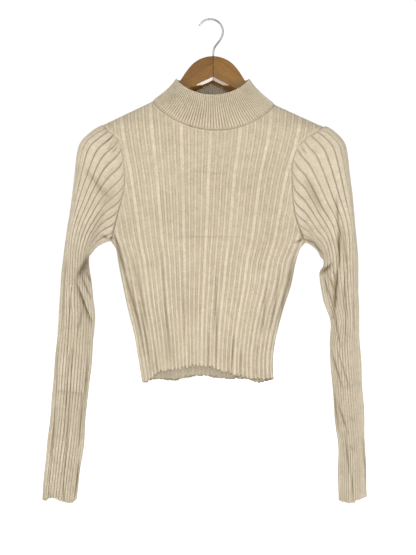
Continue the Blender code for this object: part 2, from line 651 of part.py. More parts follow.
def build_sleeve(name, side, material):
    """One sleeve from the armhole seam to the open cuff."""
    count = 4 * SLEEVE_RIBS
    turns = np.arange(count) / count
    rise = np.where(np.arange(count) % 2 == 0, 0.0, SLEEVE_RIB_RISE)
    front, front_wall = armhole_seam(side, FRONT, 1)
    back, back_wall = armhole_seam(side, BACK, 1)
    seam = np.concatenate([front, back[-2:0:-1]])
    wall = np.concatenate([front_wall, back_wall[-2:0:-1]])
    inner_turns = turns[::2]
    rows = range(len(SLEEVE[side]["bow"]))
    rings = [(seam, turns)]
    for row in rows:
        outer = sleeve_ring(side, row, turns) - sleeve_inward(side, row, turns) * rise[:, None]
        rings.append((outer, turns))
    for row in reversed(rows):
        inner = sleeve_ring(side, row, inner_turns, inside=True)
        inner += sleeve_inward(side, row, inner_turns) * WALL
        rings.append((inner, inner_turns))
    rings.append((seam + wall * WALL, turns))
    return build_tube(name, rings, material)


# ---- hanger and hook -------------------------------------------------------------------------------
def hanger_section(top, bottom, half):
    """Upright section of the arm, once round, with chamfered edges: y and z of its points."""
    upper = min(TOP_CHAMFER * half, 0.3 * (top - bottom))
    lower = min(BOTTOM_CHAMFER * half, 0.3 * (top - bottom))
    quarter = [(half - upper, top), (half - 0.3 * upper, top - 0.3 * upper), (half, top - upper),
               (half, bottom + 1.4 * lower), (half - lower, bottom)]
    return quarter + [(-y, z) for y, z in reversed(quarter)]


def tube_faces(rows, size):
    """Faces of a solid rod: the skin between rows of size points each, and its two ends."""
    faces = [list(range(size)), list(range((rows - 1) * size, rows * size))]
    for row in range(rows - 1):
        for k in range(size):
            a, b = row * size + k, row * size + (k + 1) % size
            faces.append([a, b, b + size, a + size])
    return faces


def build_arm(name, side, material):
    """One half of the hanger from the mitre to its rounded end, with half of the hook's bore."""
    rows = [SEAM_GAP / 2] + list(HANGER["out"][1:])
    points = []
    for out in rows:
        top, bottom, half = (smooth(HANGER["out"], HANGER[name], out)
                             for name in ("top", "bottom", "half"))
        points += [(HANGER_X + side * out, y, z) for y, z in hanger_section(top, bottom, half)]
    faces = tube_faces(len(rows), len(points) // len(rows))
    pivot = Matrix.Translation((HANGER_X * MM, 0, HANGER["top"][0] * MM))
    tilt = pivot @ Matrix.Rotation(radians(HANGER_TILT), 4, "Y") @ pivot.inverted()
    arm = make_object(name, np.array(points), faces, material)
    arm.data.transform(tilt)
    cutter = arm.modifiers.new("bore", "BOOLEAN")
    cutter.object = bore_cutter()
    cutter.operation = "DIFFERENCE"
    cutter.solver = "EXACT"
    return arm


def bore_cutter():
    """The cylinder that cuts the hook's bore, made once."""
    if "bore_guide" in bpy.data.objects:
        return bpy.data.objects["bore_guide"]
    length = (SHANK_DEPTH + 12) * MM
    bpy.ops.mesh.primitive_cylinder_add(
        vertices=16, radius=(WIRE_RADIUS + BORE_CLEARANCE) * MM, depth=length,
        location=(HANGER_X * MM, 0, (HANGER["top"][0] - SHANK_DEPTH - 1) * MM + length / 2))
    guide = bpy.context.object
    guide.name = "bore_guide"
    guide.hide_render = True
    guide.display_type = "WIRE"
    return guide


def hook_path():
    """Middle line of the wire from the tip over the rail to the end of the shank: x and z."""
    centre_z = WIRE_RADIUS - HOOK_RADIUS
    arc = [(HOOK_RADIUS * cos(radians(a)), centre_z + HOOK_RADIUS * sin(radians(a)))
           for a in np.linspace(HOOK_FROM, HOOK_TO, 16)]
    wood_top = HANGER["top"][0]
    start, end = np.array(arc[-1]), np.array([HANGER_X, wood_top + 4])
    leave = radians(HOOK_TO - 90)
    lead = 0.45 * hypot(*(end - start))
    bend = [start, start + lead * np.array([cos(leave), sin(leave)]), end + (0, lead), end]
    neck = []
    for t in np.linspace(0, 1, 9)[1:]:
        weights = ((1 - t) ** 3, 3 * t * (1 - t) ** 2, 3 * t * t * (1 - t), t ** 3)
        neck.append(sum(w * p for w, p in zip(weights, bend)))
    shank = [(HANGER_X, wood_top - 6), (HANGER_X, wood_top - SHANK_DEPTH + BORE_CLEARANCE)]
    return np.array(arc + neck + shank)


def build_hook(material):
    """The bent wire hook, with a rounded tip."""
    path = hook_path()
    tip = unit(path[0] - path[1])
    path = np.concatenate([[path[0] + tip * WIRE_RADIUS * 0.8], path])
    radii = np.full(len(path), WIRE_RADIUS)
    radii[0] = WIRE_RADIUS * 0.5
    ahead = unit(np.gradient(path, axis=0))
    points = []
    for (x, z), (run_x, run_z), radius in zip(path, ahead, radii):
        for angle in np.arange(WIRE_SIDES) * 2 * pi / WIRE_SIDES:
            out = radius * cos(angle)
            points.append((x + out * run_z, radius * sin(angle), z - out * run_x))
    faces = tube_faces(len(path), WIRE_SIDES)
    return make_object("hook", np.array(points), faces, material)


# ---- Blender objects -------------------------------------------------------------------------------
def make_material(name):
    """A plain material from the table of colours."""
    colour, roughness, metallic = COLOURS[name]
    material = bpy.data.materials.new(name)
    material.use_nodes = True
    shader = material.node_tree.nodes["Principled BSDF"]
    shader.inputs["Base Color"].default_value = colour
    shader.inputs["Roughness"].default_value = roughness
    shader.inputs["Metallic"].default_value = metallic
    return material


def make_object(name, points, faces, material):
    """An object from points in millimetres and faces, with its faces turned outwards."""
    mesh = bpy.data.meshes.new(name)
    mesh.from_pydata([tuple(p * MM) for p in points], [], faces)
    work = bmesh.new()
    work.from_mesh(mesh)
    bmesh.ops.recalc_face_normals(work, faces=work.faces)
    work.to_mesh(mesh)
    work.free()
    mesh.shade_smooth()
    mesh.set_sharp_from_angle(angle=radians(50))
    mesh.materials.append(material)
    made = bpy.data.objects.new(name, mesh)
    bpy.context.collection.objects.link(made)
    return made


def main():
    """Clears the scene and builds every piece."""
    for old in list(bpy.data.objects):
        bpy.data.objects.remove(old)
    build_panel("front", FRONT, make_material("cream"))
    build_panel("back", BACK, make_material("cream"))
    build_sleeve("sleeve_left", LEFT, make_material("cream"))
    build_sleeve("sleeve_right", RIGHT, make_material("cream"))
    build_collar(make_material("cream"))
    build_arm("hanger_left", LEFT, make_material("wood"))
    build_arm("hanger_right", RIGHT, make_material("wood"))
    build_hook(make_material("steel"))


main()
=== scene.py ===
"""Looks of the ribbed mock-neck crop top on its wooden hanger.

Frame: +Z up, the front of the top faces -Y, +X is to the right seen from the front, and the origin is
the inside top of the hook. Sizes and tables are in millimetres; make_mesh() turns them into metres.

Each piece of knit is a thin closed shell on the form of its solid, with its ribs, folds, seams and
uneven edges. A place in a body panel is (s, z): s goes from -1 at the left side seam to 1 at the right
one, and follows the ribs. A place in a sleeve is (row, turn), and in the collar (height, turn).
"""

from math import cos, hypot, pi, radians, sin

import bmesh
import bpy
import numpy as np
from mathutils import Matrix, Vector
from mathutils.geometry import delaunay_2d_cdt

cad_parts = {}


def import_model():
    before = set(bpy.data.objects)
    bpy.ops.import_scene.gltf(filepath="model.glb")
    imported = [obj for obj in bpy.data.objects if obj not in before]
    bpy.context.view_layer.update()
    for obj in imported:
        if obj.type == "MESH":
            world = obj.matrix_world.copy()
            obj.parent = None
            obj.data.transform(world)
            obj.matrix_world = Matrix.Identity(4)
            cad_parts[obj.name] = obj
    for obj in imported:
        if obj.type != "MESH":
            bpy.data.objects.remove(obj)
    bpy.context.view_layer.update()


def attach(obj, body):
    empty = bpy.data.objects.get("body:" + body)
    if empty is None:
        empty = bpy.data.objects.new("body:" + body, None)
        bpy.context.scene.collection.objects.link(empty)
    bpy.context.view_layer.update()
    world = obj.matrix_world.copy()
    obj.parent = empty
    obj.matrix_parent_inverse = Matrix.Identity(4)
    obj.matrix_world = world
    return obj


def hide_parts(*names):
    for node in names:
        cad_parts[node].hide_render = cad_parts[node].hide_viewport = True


MM = 0.001
LEFT, RIGHT = -1, 1        # sides as seen from the front
FRONT, BACK = -1, 1        # sign of Y

# ---- knit ----
KNIT = 1.5                 # thickness of the wall
SEAM_GAP = 0.3
SEAM_PULL = 3.0            # the ribs rise over this distance from a seam
LOOP_HEIGHT, LOOP_WIDTH = 1.5, 1.3       # of one loop of the knit
LUMP = 0.9                 # height of the soft unevenness of the cloth
LUMP_DEPTH, LUMP_REACH = 20.0, 8         # full where the body is this thick, fading at its sides
LUMP_START = 30.0          # and full this far from the armhole on a sleeve
CLOTH_SHARP, WOOD_SHARP = 60, 20         # degrees: an edge looks sharp beyond this
# Waves of unevenness: the scales of their two coordinates, about the length of one, and their seed.
WAVE_COUNT = 6
WAVES = {
    "panel_lumps": (1, 1, 80, 61),
    "panel_ribs": (2.5, 1, 120, 21),
    "hem": (1, 0, 0.09, 5),
    "collar": (420, 40, 90, 8),
    "sleeve_ribs": (700, 1, 120, 31),
    "sleeve_lumps": (300, 1, 75, 51),
}

# ---- points of the panels ----
GRID_ROW, INNER_ROW = 3.0, 5.0           # height of a row of faces outside and inside
RIM_STEP = 1.3             # between the points of a panel's rim
RIM_CLEAR = 0.8            # points inside a panel stay this far from its rim
RIM_REACH = 6.0            # and feel it up to here
FLANK_STEP, FLANK_CLEAR = 2.5, 1.5       # between the points of a side seam, and left free at its ends
ARMHOLE_REACH = 60.0       # the cloth this far to both sides of an armhole feels its seam
SLOPE_STEP, FLANK_SLOPE = 0.6, 2.0       # steps over which the slopes of the body and its sides are read
OUTLINE_POINTS = {"shoulder": 20, "armhole": 161, "side": 80}
RIM_POINTS = {"armhole": 160, "neck": 200}
FELT_POINTS = {"armhole": 120, "neck": 150}      # of the seams that the cloth beside them feels

# ---- ribs ----
PANEL_RIBS = 35            # ribs across one panel, the middle one on s = 0
WIDE_EVERY = 4             # each fourth rib is a wide one
OPEN_PITCH, TIGHT_PITCH = 12.7, 6.2      # the ribs are furthest apart at the neck, closest at the hem
OPEN_RISE, TIGHT_RISE = 1.0, 1.35        # of a rib over the ground beside it
PANEL_RISE = 1.05                        # a rib that rises as far as this has its full painted light
MEAN_RISE = 0.5                          # of a rib's profile: it neither dips nor lifts an edge there
RIB_UNEVEN = 0.32                        # part by which their rise varies
INNER_RISE = 0.7                         # inside, the ground between the ribs gets painted light instead, as if raised
INNER_FOLLOWS, INNER_TINT = 0.35, 0.4    # parts of the ribs' rise in the inner face and in its painted shade


def table(columns, *rows):
    """A small table as a dictionary: each named column is an array, a row for each entry."""
    return dict(zip(columns.split(), np.array(rows, float).T))


# Points across a rib: their place in the pitch where the ribs are far apart and where they are tight.
NARROW_RIB = table("open tight rise",
                   (-0.5, -0.5, 0), (-0.30, -0.38, 0), (-0.18, -0.30, -0.22), (-0.125, -0.21, 0.60),
                   (-0.06, -0.11, 1), (0.06, 0.11, 1), (0.125, 0.21, 0.60), (0.18, 0.30, -0.22),
                   (0.30, 0.38, 0))
WIDE_RIB = table("open tight rise",
                 (-0.5, -0.5, 0), (-0.40, -0.45, 0), (-0.325, -0.39, -0.22), (-0.27, -0.32, 0.65),
                 (-0.19, -0.22, 1), (0, 0, 0.85), (0.19, 0.22, 1), (0.27, 0.32, 0.65),
                 (0.325, 0.39, -0.22), (0.40, 0.45, 0))
SLEEVE_RIBS = 28           # once round a sleeve
SLEEVE_RISE = 1.5
SLEEVE_PITCH = 9.0         # of its ribs, for the loops
SLEEVE_RIB = table("place rise", (0, -0.55), (0.07, 0), (0.16, 0.75), (0.25, 1.05), (0.36, 0.8),
                   (0.55, 0.65), (0.78, 0.62), (0.93, 0.3))
COLLAR_RIBS = 124
COLLAR_RISE = 1.1
COLLAR_RIB = table("place rise", (0, -0.55), (0.2, 0), (0.38, 0.95), (0.62, 0.95), (0.8, 0))

# ---- outline of the body ----
NECK_POINT = {LEFT: (-97.4, -136.6), RIGHT: (108.5, -142.3)}

# The armhole seam in the front view at equal steps from the shoulder to the underarm.
ARMHOLE = {
    LEFT: table("x z", (-180, -176), (-171, -187), (-153, -204), (-145, -236), (-143.5, -277),
                (-153.5, -322), (-167, -371)),
    RIGHT: table("x z", (189, -179), (178, -189), (155.5, -204), (138, -235), (136.5, -277),
                 (141, -325), (159, -374)),
}
ARMHOLE_DEPTH = {FRONT: 20.0, BACK: 18.0}

# The side seams below the underarm.
SIDES = table("z left right",
              (-384, -158, 150), (-404, -155, 144), (-445, -147, 135.5), (-485, -138.5, 122.5),
              (-525, -128.5, 112), (-566, -121.5, 105.5), (-610, -114, 106.5))

# The middle rib, and the half width that the ribs of each side take up down to below the underarm.
RIB_FAN = table("z centre left right",
                (-136, 0.7, 222, 222), (-185, 0.7, 214, 214), (-268, -3.4, 186, 187),
                (-327, -5.2, 171, 174), (-372, -7.5, 158, 165), (-404, -9.1, 145.9, 153.1))
RIB_CENTRE_BELOW = table("z x", (-404, -9.1), (-445, -11), (-485, -12.8), (-525, -14), (-610, -15))

# Half thickness of the body, from the shoulders to the hem.
DEPTH = table("z front back", (-136, 24, 22), (-176, 27, 24), (-240, 30, 26), (-374, 32, 28),
              (-485, 30, 27), (-610, 26, 26))
SIDE_ROUNDNESS = 2.6       # exponent of the section: 2 is an ellipse, more is flatter
SEAM_REACH = 5             # exponent: the armhole's own thickness shows only beside it

# Hem height along the panel, and how far the edge dips at a rib and wanders.
HEM = {
    FRONT: table("s z", (-1, -607), (-0.93, -607.5), (-0.8, -599), (-0.7, -591), (-0.6, -588.5),
                 (-0.3, -583), (-0.1, -579), (0.1, -581), (0.35, -590), (0.65, -600), (0.8, -602),
                 (1, -601)),
    BACK: table("s z", (-1, -607), (-0.72, -604), (-0.5, -607), (-0.3, -603.5), (0, -599),
                (0.3, -604), (0.6, -604), (0.85, -609), (1, -603)),
}
HEM_SCALLOP = {FRONT: 2.2, BACK: 1.2}
HEM_WANDER = {FRONT: 1.4, BACK: 0.8}
HEM_END = 0.125            # both fade out over this part of s before the side seams

# ---- neck and collar ----
NECK_DROP = {FRONT: 47.8, BACK: 9.0}     # of the seam below the neck points, in the middle
NECK_SHAPE = 1.6                         # 1 is an elliptical neckline, 2 a parabolic one
TOP_RING = dict(x=3.9, half_width=60.9, z=-98.3)
TOP_RING_HALF = {
    FRONT: dict(drop=30.5, reach=27.0, shape=1.5),
    BACK: dict(drop=1.8, reach=26.0, shape=0.5),
}
COLLAR_FLARE = 0.10                      # how far the sides of the collar bow in, of their run
# How far the band stands out of its plain form up its height: rolled at the top, creased below that.
COLLAR_SWELL = table("height out", (0, 0.2), (0.08, 1.7), (0.3, 1.6), (0.55, 0.2), (0.72, -1.5),
                     (0.86, -0.5), (0.95, 0.9), (1, 0.2))
COLLAR_ROWS = 30
COLLAR_HEIGHT = 45.0       # of the band, for the loops
COLLAR_SLOPE = 3e-3        # step over which its slope is read, of a turn and of its height
COLLAR_LUMP = 0.5
COLLAR_ENDS, ROLL_ENDS = 12, 14          # of its height: ribs fade and the roll ends over one part
EDGE_RISE = 0.4            # part of their rise that the ribs keep on the rolled edge
COLLAR_INSIDE = 0.6        # part of it that the inner face has
ROLL_PART = 0.5            # part by which the rolled edge is thicker

# ---- sleeves ----
# A row for each section: its outer and inner edge, the part of the armhole's bow that it keeps, and
# its half thickness. The first row is the armhole seam itself.
SLEEVE = {
    LEFT: table("outer_x outer_z inner_x inner_z bow depth",
                (-180, -176, -167, -371, 1.00, 20),
                (-187, -179.5, -169.5, -372, 1.00, 21), (-196, -185, -173, -373, 1.03, 23),
                (-206, -193, -178, -374.5, 1.06, 24),
                (-216, -203, -183, -377, 1.08, 25), (-222.5, -217, -188, -380, 1.05, 26),
                (-225.5, -238, -194, -384.5, 1.00, 26), (-227.5, -266, -199, -389.5, 0.90, 26),
                (-232, -303, -204, -395, 0.75, 25), (-238, -345, -206.5, -401, 0.50, 23),
                (-244.5, -387, -205, -412, 0.25, 20), (-248, -425, -202, -433, 0.10, 18),
                (-251.5, -465, -199, -465, 0, 17), (-254.5, -505, -196, -505, 0, 16),
                (-261.5, -586, -201.5, -586, 0, 15), (-268, -672, -210, -672, 0, 15),
                (-274, -722, -215, -722, 0, 14), (-278, -767, -221.5, -767, 0, 14),
                (-281, -804, -226, -807, 0, 14)),
    RIGHT: table("outer_x outer_z inner_x inner_z bow depth",
                 (189, -179, 159, -374, 1.00, 20),
                 (195, -180, 160.5, -374.5, 1.00, 21), (202, -183.5, 162.5, -375, 1.03, 23),
                 (210.5, -190.5, 165.5, -376, 1.06, 24),
                 (220, -200.5, 169.5, -378, 1.08, 25), (227, -213.5, 174, -381, 1.05, 26),
                 (231, -235, 178.5, -385.5, 1.00, 26), (234, -262, 182.5, -391, 0.90, 26),
                 (238, -299, 187, -398, 0.75, 25), (242, -339, 191, -403, 0.50, 23),
                 (245, -383, 190.5, -414, 0.25, 20), (247.5, -423, 184.5, -428, 0.10, 18),
                 (248, -465, 190, -467, 0, 17), (248, -505, 203, -505, 0, 15),
                 (249.5, -546, 199.5, -546, 0, 15), (253, -610, 205.5, -610, 0, 14),
                 (256.5, -672, 211, -672, 0, 14),
                 (259.5, -720, 216, -720, 0, 13), (260.5, -764, 216, -764, 0, 13),
                 (261.5, -799, 216, -806, 0, 13)),
}
SLEEVE_ROUNDNESS = 2.4
RIB_CROWDING = 0.35        # how far the ribs close up where a sleeve turns round its edges
# How far the ribs sag towards the underarm below the shoulder, and are drawn outwards above the
# elbow, of the way across.
RIB_SAG = {
    LEFT: table("row sag", (0, 0), (2, 0.045), (4, 0.06), (5.5, 0.045), (6.7, 0.005), (8, -0.06),
                (9.4, -0.14), (10.5, -0.10), (12, -0.03), (13.5, 0), (19, 0)),
    RIGHT: table("row sag", (0, 0), (2, 0.04), (4, 0.055), (5.5, 0.05), (6.7, 0.03), (8, -0.01),
                 (9.4, -0.08), (10.5, -0.07), (12, -0.03), (13.5, 0), (20, 0)),
}
SLEEVE_STEP = 3.2          # between the rings of a sleeve
SLEEVE_SAMPLES = 300
CUFF_SCALLOP = 1.6
CUFF_REACH = 14.0          # the cloth is drawn up over this distance from the edge
CUFF_EDGE = {              # how far the edge rises across the sleeve, from its outer side
    LEFT: table("across rise", (0, 0), (0.12, -0.7), (0.18, 3.7), (0.33, 5), (0.45, 3.7), (0.55, 0.7),
                (0.64, 0), (0.76, -2), (0.91, -1.7), (1, 2.9)),
    RIGHT: table("across rise", (0, 0), (0.15, 0), (0.3, -2.2), (0.4, -2.4), (0.45, -6.2), (0.67, -5.2),
                 (0.78, -3), (1, 0)),
}

# ---- folds ----
# Soft troughs, each along a straight line in the front view. lip is the side of the line, 1 or -1,
# that falls off steeply, as where the cloth laps over itself, or 0 for none.
FOLDS = {
    FRONT: table(
        "x0 z0 x1 z1 depth width lip",
        # body: bunched sides, then the grooves of the lower half, then creases across
        (-160, -368, -140, -430, 4.8, 6.5, 0), (-143, -419, -117, -520, 4.2, 4.8, 0),
        (-134, -440, -110, -562, 2.2, 3.4, 0), (-118, -470, -98, -584, 2.2, 3.8, 0),
        (-128, -400, -104, -520, 2.2, 4.0, 0), (140, -400, 126, -462, 4.5, 7.0, 0),
        (128, -440, 112, -520, 3.5, 5.0, 0), (116, -420, 100, -520, 2.0, 4.0, 0),
        (-80, -370, -69, -588, 1.6, 4.0, 0), (-74, -470, -60, -590, 1.4, 3.6, 0),
        (-92, -540, -86, -600, 1.4, 3.6, 0), (-43, -440, -42, -545, 1.6, 4.0, 0),
        (9, -420, 10, -590, 2.0, 4.0, 0), (-2, -520, -3, -590, 1.4, 3.6, 0),
        (39, -525, 34, -590, 1.6, 4.0, 0), (50, -545, 49, -595, 1.2, 3.6, 0),
        (93, -437, 86, -530, 1.6, 4.0, 0), (77, -540, 74, -600, 1.2, 3.6, 0),
        (-34, -255, 24, -261, 0.7, 2.6, 0), (-68, -364, 58, -366, 0.7, 3.0, 0),
        # puckered heads of the sleeves and the soft creases below
        (-163, -197, -176, -211, 1.5, 2.6, 0), (-157, -203, -172, -219, 1.6, 2.6, 0),
        (-153, -212, -165, -227, 1.2, 2.4, 0), (-208, -254, -166, -304, 4.5, 12.0, 1),
        (150, -214, 160, -226, 1.2, 2.6, 0), (158, -262, 188, -326, 3.5, 10.0, 0),
        # left elbow: the lap, the groove below it and small ones on the cloth under the lap
        (-204, -394, -224, -432, 13.0, 15.0, 1), (-223, -440, -199, -506, 8.0, 8.0, -1),
        (-217, -424, -201, -466, 2.0, 2.6, 0), (-208, -420, -200, -446, 1.8, 2.4, 0),
        (-212, -474, -222, -530, 2.2, 4.0, 0), (-241, -400, -247, -520, 1.3, 2.4, 0),
        (-231, -450, -239, -556, 1.6, 2.6, 0),
        # right elbow: the long groove, one beside it, the pocket and small ones below it
        (209, -296, 214.5, -362, 2.6, 3.6, 0), (214.5, -346, 214.5, -414, 5.0, 4.6, 0),
        (214.5, -404, 207, -500, 9.0, 7.5, -1),
        (219, -346, 229, -424, 2.0, 2.8, 0), (224, -420, 222, -490, 1.6, 3.0, 0),
        (203, -409, 186, -425, 6.0, 6.0, 0), (196, -426, 211, -462, 2.0, 2.4, 0),
        (190, -432, 206, -484, 2.0, 2.4, 0), (204, -420, 212, -446, 1.6, 2.2, 0),
        (208, -490, 217, -548, 2.0, 2.8, 0), (226, -446, 225, -540, 1.6, 2.6, 0),
        (237, -400, 239, -520, 1.3, 2.4, 0),
        # underarms
        (-182, -361, -171, -366, 3.5, 3.4, 0), (-171, -366, -160, -365, 4.0, 3.8, 0),
        (-160, -365, -150, -385, 4.0, 3.6, 0), (-163, -354, -146, -396, 2.2, 2.6, 0),
        (140, -374, 156, -367, 3.6, 3.6, 0), (156, -366, 175, -374, 4.0, 3.8, 0),
        (172, -372, 188, -392, 3.0, 3.2, 0), (148, -356, 158, -368, 2.2, 2.6, 0),
        # grooves down the lower left sleeve
        (-253, -550, -258, -640, 1.6, 2.6, 0), (-258, -640, -267, -750, 1.8, 2.6, 0),
        (-267, -750, -270, -800, 1.6, 2.6, 0), (-230, -550, -234, -640, 2.0, 2.8, 0),
        (-234, -640, -245, -770, 2.0, 2.8, 0), (-245, -770, -245, -806, 1.8, 2.6, 0),
        (-236, -560, -244, -705, 1.6, 2.4, 0), (-205, -560, -211, -640, 2.0, 3.0, 0),
        (-214, -628, -221, -714, 1.8, 2.6, 0), (-221, -740, -228, -800, 2.2, 3.0, 0),
        (-260, -621, -209, -627, 1.6, 5.0, 0),
        # grooves down the lower right sleeve
        (202, -553, 222, -620, 2.2, 3.0, 0), (212, -553, 234, -622, 1.8, 2.8, 0),
        (206, -612, 216, -690, 1.8, 2.8, 0), (213, -641, 230, -692, 2.2, 3.0, 0),
        (226, -697, 231, -756, 2.0, 2.8, 0), (236, -760, 238, -800, 2.0, 2.8, 0),
        (254, -700, 260, -782, 1.8, 2.6, 0), (210, -615, 250, -610, 1.4, 5.0, 0),
        (228, -664, 240, -670, 1.6, 5.0, 0), (226, -712, 246, -722, 2.2, 7.0, 0)),
    BACK: table(
        "x0 z0 x1 z1 depth width lip",
        (-150, -390, -122, -510, 4.0, 9.0, 0), (138, -400, 114, -500, 4.0, 9.0, 0),
        (-70, -430, -62, -600, 1.6, 4.0, 0), (-20, -470, -22, -600, 1.8, 4.0, 0),
        (-96, -500, -88, -604, 1.4, 3.6, 0), (8, -500, 6, -600, 1.4, 3.6, 0),
        (40, -440, 34, -600, 1.6, 4.0, 0), (80, -480, 72, -600, 1.5, 4.0, 0),
        (-60, -262, 50, -256, 0.7, 2.8, 0), (-40, -372, 70, -368, 0.7, 3.0, 0),
        (-178, -196, -156, -220, 2.0, 3.5, 0), (-196, -270, -170, -306, 2.6, 6.0, 1),
        (168, -194, 150, -220, 2.0, 3.5, 0), (154, -268, 182, -300, 2.6, 6.0, -1),
        (-206, -396, -223, -440, 5.0, 8.0, 1), (192, -402, 212, -450, 5.0, 8.0, -1),
        (-222, -450, -204, -520, 3.0, 6.0, 1), (214, -440, 206, -510, 3.0, 6.0, -1),
        (-232, -560, -246, -790, 1.8, 2.8, 0), (-252, -560, -264, -760, 1.6, 2.6, 0),
        (-216, -600, -228, -800, 1.6, 2.6, 0), (228, -560, 240, -760, 1.8, 2.8, 0),
        (212, -600, 224, -780, 1.8, 2.8, 0), (246, -600, 252, -790, 1.6, 2.6, 0),
        (-258, -640, -212, -634, 1.4, 5.0, 0), (208, -640, 250, -648, 1.4, 5.0, 0)),
}
LIP_SHARPNESS = 3.0
FOLD_LIMIT = 0.75          # a fold takes at most this part of the local half thickness
FOLD_END = 0.35            # part of its depth that a fold keeps at its ends
CREASE_SHADE_PART = 0.55         # width of its painted crease shade, of a fold's width

# ---- seams ----
RIDGE_AT, RIDGE_WIDTH, RIDGE_RISE = 2.6, 1.4, 0.6     # the ridge of the seam allowance by an armhole
HEAD_RIDGE = dict(at=1.5, width=1.2, rise=0.42)       # the same on the head of a sleeve
STITCH_SPACING, STITCH_LENGTH, STITCH_RADIUS = 2.3, 1.7, 0.42
STITCH_SIDES = 6
STITCH_ASKEW = (0.3, 1.0, 0.2)           # a direction that no stitch runs in
# Rings of a stitch: how far along it each one is, and its part of the radius.
STITCH_RINGS = ((-0.12, 0.35), (0.08, 0.85), (0.5, 1.0), (0.92, 0.85), (1.12, 0.35))
NECK_STITCH_DROP = 3.2     # of the stitch row below the neck seam
STITCH_OUT = 0.9           # and in front of the ground of the cloth
STITCH_ENDS, STITCH_SAMPLES = 0.04, 400  # angle left free at the neck points, and points of the path
# Painted shade beside the neck seam and at the foot of the collar: its darkness and width.
NECK_SHADE, NECK_SHADE_WIDTH = 0.3, 1.7
# Painted shade along the hem's edge.
HEM_SHADE = 0.9

# ---- hanger ----
HANGER_X = 4.7             # mitre of the two halves
HANGER_TILT = 0.8          # degrees, right side down
HANGER = table("out top bottom half",
               (0, -60.8, -101, 6.0), (9, -61.6, -105.5, 6.0), (18, -64.2, -110, 6.0),
               (27, -68.8, -114.6, 6.0), (36, -76.2, -119.2, 6.0), (45, -87.5, -124, 6.0),
               (55, -102.8, -129.5, 6.0), (64, -115, -134.5, 6.0), (76, -126, -141, 6.0),
               (90, -137.6, -150, 6.0), (103, -145.5, -158, 6.0), (130, -159, -172.5, 6.0),
               (158, -173, -186, 5.8), (180, -185, -198, 5.5), (193, -193.5, -205.5, 5.0),
               (202, -201.5, -211, 4.0), (206, -207, -212, 2.5))
TOP_ROUND, TOP_ROUND_LIMIT = 0.45, 0.3   # of the half thickness, and at most of the height
TOP_POINTS = 7
BEVEL_HEIGHT, BEVEL_DEPTH = 5.6, 2.6     # of the lower front edge
BEVEL_FULL_HEIGHT, BEVEL_FULL_HALF = 14.0, 5.0     # they shrink where the arm is lower or thinner
ARRIS = 0.3                # narrow slope beside the bevel's two edges
UNDERSIDE_DROP = 3.6       # from the bevel back to the lowest edge
MITRE_ROWS = (0.02, 0.35)  # sections that round off the mitre, before the even ones
MITRE_CHAMFER = 0.35
ARM_START, ARM_ROWS = 1.5, 90
MITRE_WIDTH = 1.3          # the varnish is dark up to here beside the mitre

# ---- hook ----
WIRE_RADIUS = 1.7
WIRE_SIDES = 24
HOOK_RADIUS = 21.0         # to the middle of the wire
HOOK_FROM, HOOK_TO = 148.0, -24.0    # degrees of its arc, from the tip to the neck
ARC_POINTS, NECK_POINTS = 60, 25
HOOK_LEAD = 0.45           # how far the bend of the neck reaches, of its length
UPRIGHT = 4.0              # the wire stands upright this far above the wood
SHANK_DEPTH = 12.0         # of the wire in the wood
TIP_ANGLES = (80, 60, 40, 20)            # of the rings that round the tip

# ---- colours ----
WHITE = (1, 1, 1)
# The knit's colour by how far a rib rises: painted light on the raised ribs, painted shade in the
# grooves beside them.
GROUND_COLOUR = (0.562, 0.490, 0.358)      # cream knit, down between the ribs
LIT_RIB_COLOUR = (0.672, 0.590, 0.463)
SHADED_GROOVE_COLOUR = (0.405, 0.332, 0.228)      # in the narrow groove beside a rib
PAINTED_SHADE_TINT = (0.32, 0.26, 0.18)           # multiplies the colour where shade is painted: fold creases, neck seam, hem
LOOP_SHADE = (0.80, 0.78, 0.75)            # and this one as painted shade between the loops
# Mottling of the knit: spots to a metre and the tint of the darkest.
MOTTLES = ((14.0, (0.95, 0.945, 0.93)), (90.0, (0.905, 0.90, 0.885)), (380.0, (0.86, 0.85, 0.83)))
THREAD_DARK, THREAD_LIGHT = (0.62, 0.54, 0.41), (0.76, 0.68, 0.54)
# Wood: its dark and its light colour, and how far the grain leans from upright in degrees.
WOOD = {
    LEFT: ((0.125, 0.048, 0.002), (0.205, 0.090, 0.006), 58),
    RIGHT: ((0.155, 0.066, 0.004), (0.265, 0.126, 0.014), -58),
}
GRAIN_SIZE = (0.018, 0.018, 0.16)          # metres, the last one along the grain
PORE_SHADE = (0.66, 0.58, 0.50)
MITRE_SHADE = (0.35, 0.30, 0.25)
METAL_DARK, METAL_LIGHT = (0.20, 0.19, 0.18), (0.52, 0.51, 0.50)
FLOOR_DARK, FLOOR_LIGHT = (0.92, 0.92, 0.92), (0.95, 0.95, 0.95)

# ---- view ----
FRAME_HEIGHT = 932.0       # height of the picture at the hanger's plane
CAMERA_X, CAMERA_Z = -4.0, -432.0
CAMERA_DISTANCE = 2100.0
CLIP_END = 50000.0
FLOOR_Z, FLOOR_RADIUS, FLOOR_SIDES = -1150.0, 14000.0, 96
SURROUND = (-0.2, 0.9, 0.5, 1.03)        # from and to which Y of a direction, its strength there
# Each light's place, target, width and height in metres, and its power.
LIGHTS = {
    "key": ((-1.4, -1.8, 0.8), (0, 0, -0.4), (0.8, 0.8), 21),
    "fill": ((0.3, -2.3, -0.3), (0, 0, -0.3), (0.7, 0.7), 20),
    "glint_left": ((0.50, -0.96, -0.95), (0, 0, -0.1), (0.3, 0.25), 3.6),
    "glint_right": ((-0.48, -0.96, -0.95), (0, 0, -0.1), (0.2, 0.2), 1.0),
}


